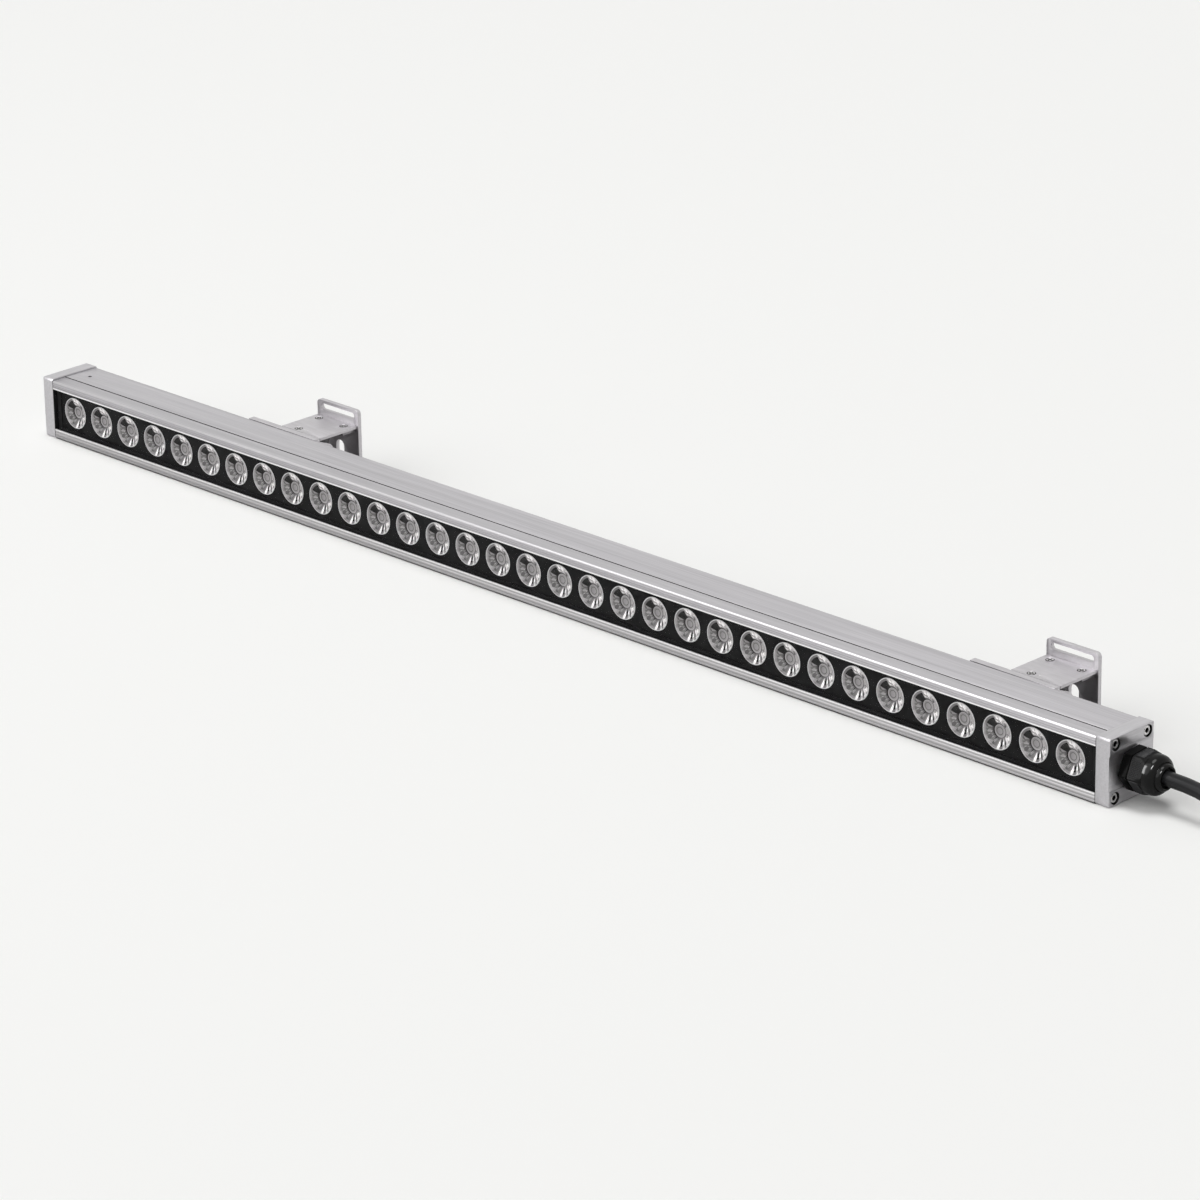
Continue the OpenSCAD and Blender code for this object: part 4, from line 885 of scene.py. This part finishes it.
def make_gland_nut():
    """Nut with a chamfered hexagon, a round glossy shoulder, a groove and a mouth lip."""
    flats = hexagon(GLAND_FLATS, GLAND_CORNER)
    rings = [(mm(x), within(flats, mm(radius)), 0) for x, radius in NUT_FLATS]
    rings += [(mm(x), GLAND_NOSE_R - mm(inset), shade) for x, inset, shade in NUT_NOSE]
    rings += [(mm(x), mm(radius), 1) for x, radius in NUT_BORE]
    mesh = lathe("gland_nut", rings, 96, GLAND_CORNER, closed=True)
    mesh.transform(Matrix.Translation((GLAND_NUT_X, 0, 0)))
    mesh = smooth_by_angle(gland_axis(mesh), 24)
    add_piece("gland_nut_piece", mesh, [gland_finish, polished_finish], "gland_nut")
    for polygon in mesh.polygons:
        polygon.material_index = int(polygon.center.x > GLAND_NUT_X + NUT_POLISHED_FROM)


def make_gland_ribs():
    """Fine ribs along the six flats of the nut."""
    length, width, rise = mm(7.2), mm(0.52), mm(0.42)
    ends = [(mm(0.9), 0.55), (mm(1.3), 1.0), (length, 1.0), (length + mm(0.5), 0.5)]
    work = bmesh.new()
    profile = [(-0.5, -0.5), (-0.34, 0.55), (0, 1.0), (0.34, 0.55), (0.5, -0.5)]
    loops = [
        [work.verts.new((x, p[0] * width, p[1] * rise * share)) for p in profile]
        for x, share in ends]
    for one, two in zip(loops, loops[1:]):
        for i in range(len(profile)):
            j = (i + 1) % len(profile)
            work.faces.new([one[i], one[j], two[j], two[i]])
    work.faces.new(loops[0])
    work.faces.new(loops[-1])
    bmesh.ops.recalc_face_normals(work, faces=work.faces)
    mesh = bpy.data.meshes.new("gland_rib")
    work.to_mesh(mesh)
    work.free()
    flat_turn = GLAND_CORNER + math.radians(30) - math.radians(90)
    copies("gland_ribs", mesh, rib_finish, "gland_nut",
           start=(GLAND_NUT_X, -RIB_PITCH * (RIB_COUNT - 1) / 2, GLAND_FLATS / 2),
           count=RIB_COUNT, step=(0, RIB_PITCH, 0), turns=6, first_turn=flat_turn,
           centre=(0, 0, GLAND_AXIS_Z))


make_gland_nut()
make_gland_ribs()

# ---------------------------------------------------------------- lenses


def make_lenses():
    """Lenses: a flat rim, a dish with a ring and a crowned middle, a curved wall and a
    pocket over the light source. X of the lathe runs from the front to the back."""
    rim, depth, foot = LENS_RIM_R, mm(10.5), mm(4.5)
    dish, middle, floor = rim - mm(0.75), mm(4.1), mm(3.3)
    flange_t, flange_w = mm(1.2), mm(0.5)
    dish_start = middle + mm(0.35)
    rings = [(floor - mm(0.5), 0), (floor - mm(0.46), middle * 0.3),
             (floor - mm(0.34), middle * 0.6), (floor - mm(0.1), middle * 0.88),
             (floor, middle * 0.94), (floor - mm(0.3), middle),
             (floor - mm(0.3), middle + mm(0.2)), (floor, dish_start)]
    for i in range(1, LENS_STEPS + 1):
        out = i / LENS_STEPS
        radius = dish_start + (dish - dish_start) * out
        slope = floor * (1 - out) ** DISH_CURVE
        rings.append((slope + mm(0.06), radius - mm(0.08)))
        rings.append((slope, radius))
    rings += [(0, dish + mm(0.1)), (0, rim - mm(0.15)), (mm(0.15), rim),
              (mm(1.15), rim), (flange_t, rim - flange_w)]
    for along, share in ((0.15, 0.9), (0.35, 0.74), (0.55, 0.55), (0.75, 0.32), (0.9, 0.13)):
        rings.append((flange_t + (depth - flange_t) * along,
                      foot + (rim - flange_w - foot) * share))
    rings += [(depth, foot), (depth, mm(3)), (mm(7.4), mm(2.75)), (mm(7.15), mm(1.8)),
              (mm(7.1), 0)]
    mesh = lathe("lens", [(along, radius, 0) for along, radius in rings], 48)
    copies("lens_row", smooth_by_angle(turned(mesh, ALONG_Y), 24), lens_finish, "lenses",
           start=FIRST_LENS, count=LENS_COUNT, step=(LENS_PITCH, 0, 0), replaces=["lenses"])


make_lenses()

# ---------------------------------------------------------------- screws


def socket_screw(name, head_d, head_h, socket_flats, socket_depth, shank_d, shank_l):
    """Socket head screw: X runs out of its head, 0 at the top of the head."""
    flats = hexagon(socket_flats, 0)
    r = head_d / 2
    rings = [
        (-socket_depth, 0, 1), (-socket_depth, flats, 1), (-mm(0.35), flats, 0.9),
        (-mm(0.1), lambda a: flats(a) + mm(0.12), 0.5), (0, lambda a: flats(a) + mm(0.3), 0),
        (0, r - mm(0.5), 0), (-mm(0.12), r - mm(0.2), 0), (-mm(0.4), r, 0.05),
        (-head_h, r, 0.6), (-head_h, shank_d / 2, 0.6), (-head_h - shank_l, shank_d / 2, 0.6),
        (-head_h - shank_l, 0, 0.6)]
    return smooth_by_angle(lathe(name, rings, 36), 32)


def cross_screw(name, head_d, head_h, shank_d, shank_l):
    """Countersunk screw with a cross recess: X runs out of its head, 0 at its top."""
    r = head_d / 2

    def cross(angle):
        part = abs((angle + math.radians(45)) % math.radians(90) - math.radians(45))
        return r * (0.66 if part < math.radians(16) else 0.28)
    rings = [
        (-mm(1.0), 0, 1), (-mm(1.0), lambda a: cross(a) * 0.55, 1), (-mm(0.12), cross, 0.8),
        (-mm(0.02), lambda a: cross(a) + mm(0.08), 0.4), (-mm(0.02), r - mm(0.95), 0),
        (-mm(0.06), r - mm(0.8), 1), (-mm(0.12), r - mm(0.05), 1), (-mm(0.3), r - mm(0.15), 1),
        (-head_h, shank_d / 2, 0.8), (-head_h - shank_l, shank_d / 2, 0.8),
        (-head_h - shank_l, 0, 0.8)]
    return smooth_by_angle(lathe(name, rings, 48), 32)


ARM_SCREW_R = mm(3.1)
ARM_SCREW_HEAD_H = mm(1.5)
ARM_SCREW_D = mm(3.2)
REAR_SCREW_L = mm(3.1)
REAR_SCREW_SPAN = mm(25.6)
FRONT_SCREW_SHIFT = mm(5.8)


def make_cap_screws():
    """Four screws in each cap, with their heads outwards."""
    for side, end, turn in (("right", 1, 0), ("left", 0, 180)):
        node = "cap_screws_" + side
        head_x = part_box(node)[end][0]
        mesh = socket_screw(
            node, head_d=mm(6.4), head_h=mm(3.6), socket_flats=mm(2.9), socket_depth=mm(1.9),
            shank_d=mm(3.5), shank_l=mm(18))
        mesh.transform(Matrix.Rotation(math.radians(turn), 4, "Z"))
        copies(node + "_piece", mesh, screw_finish, node,
               start=(head_x, -SCREW_Y, SCREW_MID_Z - SCREW_HALF_SPAN), count=2,
               step=(0, 2 * SCREW_Y, 0), second_count=2,
               second_step=(0, 0, 2 * SCREW_HALF_SPAN), replaces=[node])


def make_arm_screws():
    """The two rear arm screws, and the front one, of each bracket."""
    r, head_d = ARM_SCREW_R, 2 * ARM_SCREW_R
    for side in ("left", "right"):
        node = side + "_arm_screws"
        low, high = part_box(node)
        rear = cross_screw(
            "rear_arm_screw", head_d, ARM_SCREW_HEAD_H, ARM_SCREW_D, REAR_SCREW_L)
        copies(node + "_rear", turned(rear, ALONG_Z), screw_finish, node,
               start=(low[0] + r, high[1] - r, high[2]), count=2,
               step=(REAR_SCREW_SPAN, 0, 0), replaces=[node])
        front = cross_screw("front_arm_screw", head_d, ARM_SCREW_HEAD_H, ARM_SCREW_D,
                            high[2] - low[2] - ARM_SCREW_HEAD_H)
        copies(node + "_front", turned(front, ALONG_Z), screw_finish, node,
               start=(low[0] + r + FRONT_SCREW_SHIFT, low[1] + r, high[2]))


make_cap_screws()
make_arm_screws()

# ---------------------------------------------------------------- carried-over parts

rounded("housing", housing_finish, mm(0.12))
for side in ("left", "right"):
    rounded("end_cap_" + side, cap_finish, mm(0.3))
    rounded(side + "_back_plate", bracket_finish, mm(0.4))
    rounded(side + "_hinge_block", painted_shade_block_finish, mm(0.3))
    rounded(side + "_arm", bracket_finish, mm(0.3))
    rounded(side + "_wall_plate", wall_plate_finish, mm(0.3))
    dress(steel_finish, *[side + "_" + part for part in (
        "clamp_screws", "slot_nuts", "pivot_bolt", "pivot_washers", "pivot_nut", "pin")])
rounded("gland_body", hexagon_finish, mm(0.25))
dress(oxide_finish, "top_set_screw")
dress(steel_finish, "board_screws")
dress(rubber_finish, "gasket_left", "gasket_right", "glass_seal", "gland_ring", "gland_sleeve",
      "inner_leads")
dress(glass_finish, "front_glass")
dress(panel_finish, "lens_panel")
dress(board_finish, "light_board")
dress(source_finish, "light_sources")
dress(pad_finish, "thermal_pad")
dress(green_finish, "driver_board")
dress(part_finish, "driver_parts")
dress(core_finish, "cable_cores")
dress(tin_finish, "core_ferrules")

# ---------------------------------------------------------------- studio

BACKDROP = (0.93, 0.93, 0.915)
FILL_STRENGTH = 0.25
FLOOR_HALF = 12.0


def make_floor():
    half = FLOOR_HALF
    corners = [(-half, -half, 0), (half, -half, 0), (half, half, 0), (-half, half, 0)]
    mesh = bpy.data.meshes.new("floor")
    mesh.from_pydata(corners, [], [(0, 1, 2, 3)])
    floor = new_object("floor", mesh)
    f = Finish("pale_floor", Roughness=1.0, Specular_IOR_Level=0.0)
    f.drive(Base_Color=colour(*BACKDROP))
    mesh.materials.append(f.material)


def make_world():
    """Pale to the camera, in mirrors and through glass, and a weak fill light elsewhere."""
    world = bpy.data.worlds.new("studio")
    bpy.context.scene.world = world
    world.use_nodes = True
    tree = world.node_tree
    for node in list(tree.nodes):
        tree.nodes.remove(node)
    rays = grow(tree, "ShaderNodeLightPath").outputs
    seen = rays["Is Camera Ray"]
    for kind in ("Is Glossy Ray", "Is Transmission Ray"):
        seen = grow(tree, "ShaderNodeMath", {0: seen, 1: rays[kind]},
                    operation="MAXIMUM").outputs[0]
    fill, backdrop = [
        grow(tree, "ShaderNodeBackground", {"Color": colour(*tint), "Strength": strength})
        for tint, strength in (((1.0, 1.0, 1.0), FILL_STRENGTH), (BACKDROP, 1.0))]
    mix = grow(tree, "ShaderNodeMixShader", {
        "Fac": seen, 1: fill.outputs[0], 2: backdrop.outputs[0]})
    grow(tree, "ShaderNodeOutputWorld", {"Surface": mix.outputs[0]})


def make_sun(name, azimuth, elevation, strength, spread):
    """A sun at an azimuth and elevation, with a disc of this width, all in degrees."""
    data = bpy.data.lights.new(name, "SUN")
    data.energy = strength
    data.angle = math.radians(spread)
    sun = new_object(name, data)
    towards = outward(math.radians(azimuth), math.radians(elevation))
    sun.rotation_mode = "QUATERNION"
    sun.rotation_quaternion = towards.to_track_quat("Z", "Y")


def make_softbox(name, place, target, size, power, receivers=()):
    """A lamp that faces its target; where pieces are named, it lights them alone."""
    data = bpy.data.lights.new(name, "AREA")
    data.shape = "RECTANGLE"
    data.size, data.size_y = size
    data.energy = power
    lamp = new_object(name, data)
    lamp.location = place
    lamp.rotation_mode = "QUATERNION"
    out = (Vector(place) - Vector(target)).normalized()
    lengthwise = Vector((1, 0, 0)).cross(out).normalized()
    turn = Matrix((lengthwise, out.cross(lengthwise), out)).transposed()
    lamp.rotation_quaternion = turn.to_quaternion()
    if receivers:
        lit = bpy.data.collections.new(name + "_receivers")
        for piece in receivers:
            lit.objects.link(bpy.data.objects[piece])
        lamp.light_linking.receiver_collection = lit


GLAND_PIECES = ["gland_body_piece", "gland_nut_piece", "gland_ribs"]
make_floor()
make_world()
make_sun("front_sun", -20.0, 40.0, 1.45, 60.0)
make_sun("top_sun", 180.0, 88.0, 1.25, 28.0)
make_softbox("lip_light", (-1.2, -0.9, 1.9), (0.3, 0, 0.02), (0.22, 0.22), 3.0)
make_softbox("gland_light", (-0.35, -1.15, 0.80), (0.52, 0, 0.02), (1.1, 0.22), 24.0,
             GLAND_PIECES)
make_softbox("nose_light", (1.14, -0.69, 1.19), (0.53, 0, 0.02), (0.5, 0.22), 24.0,
             GLAND_PIECES + ["cable"])
bpy.context.scene.view_settings.view_transform = "Standard"
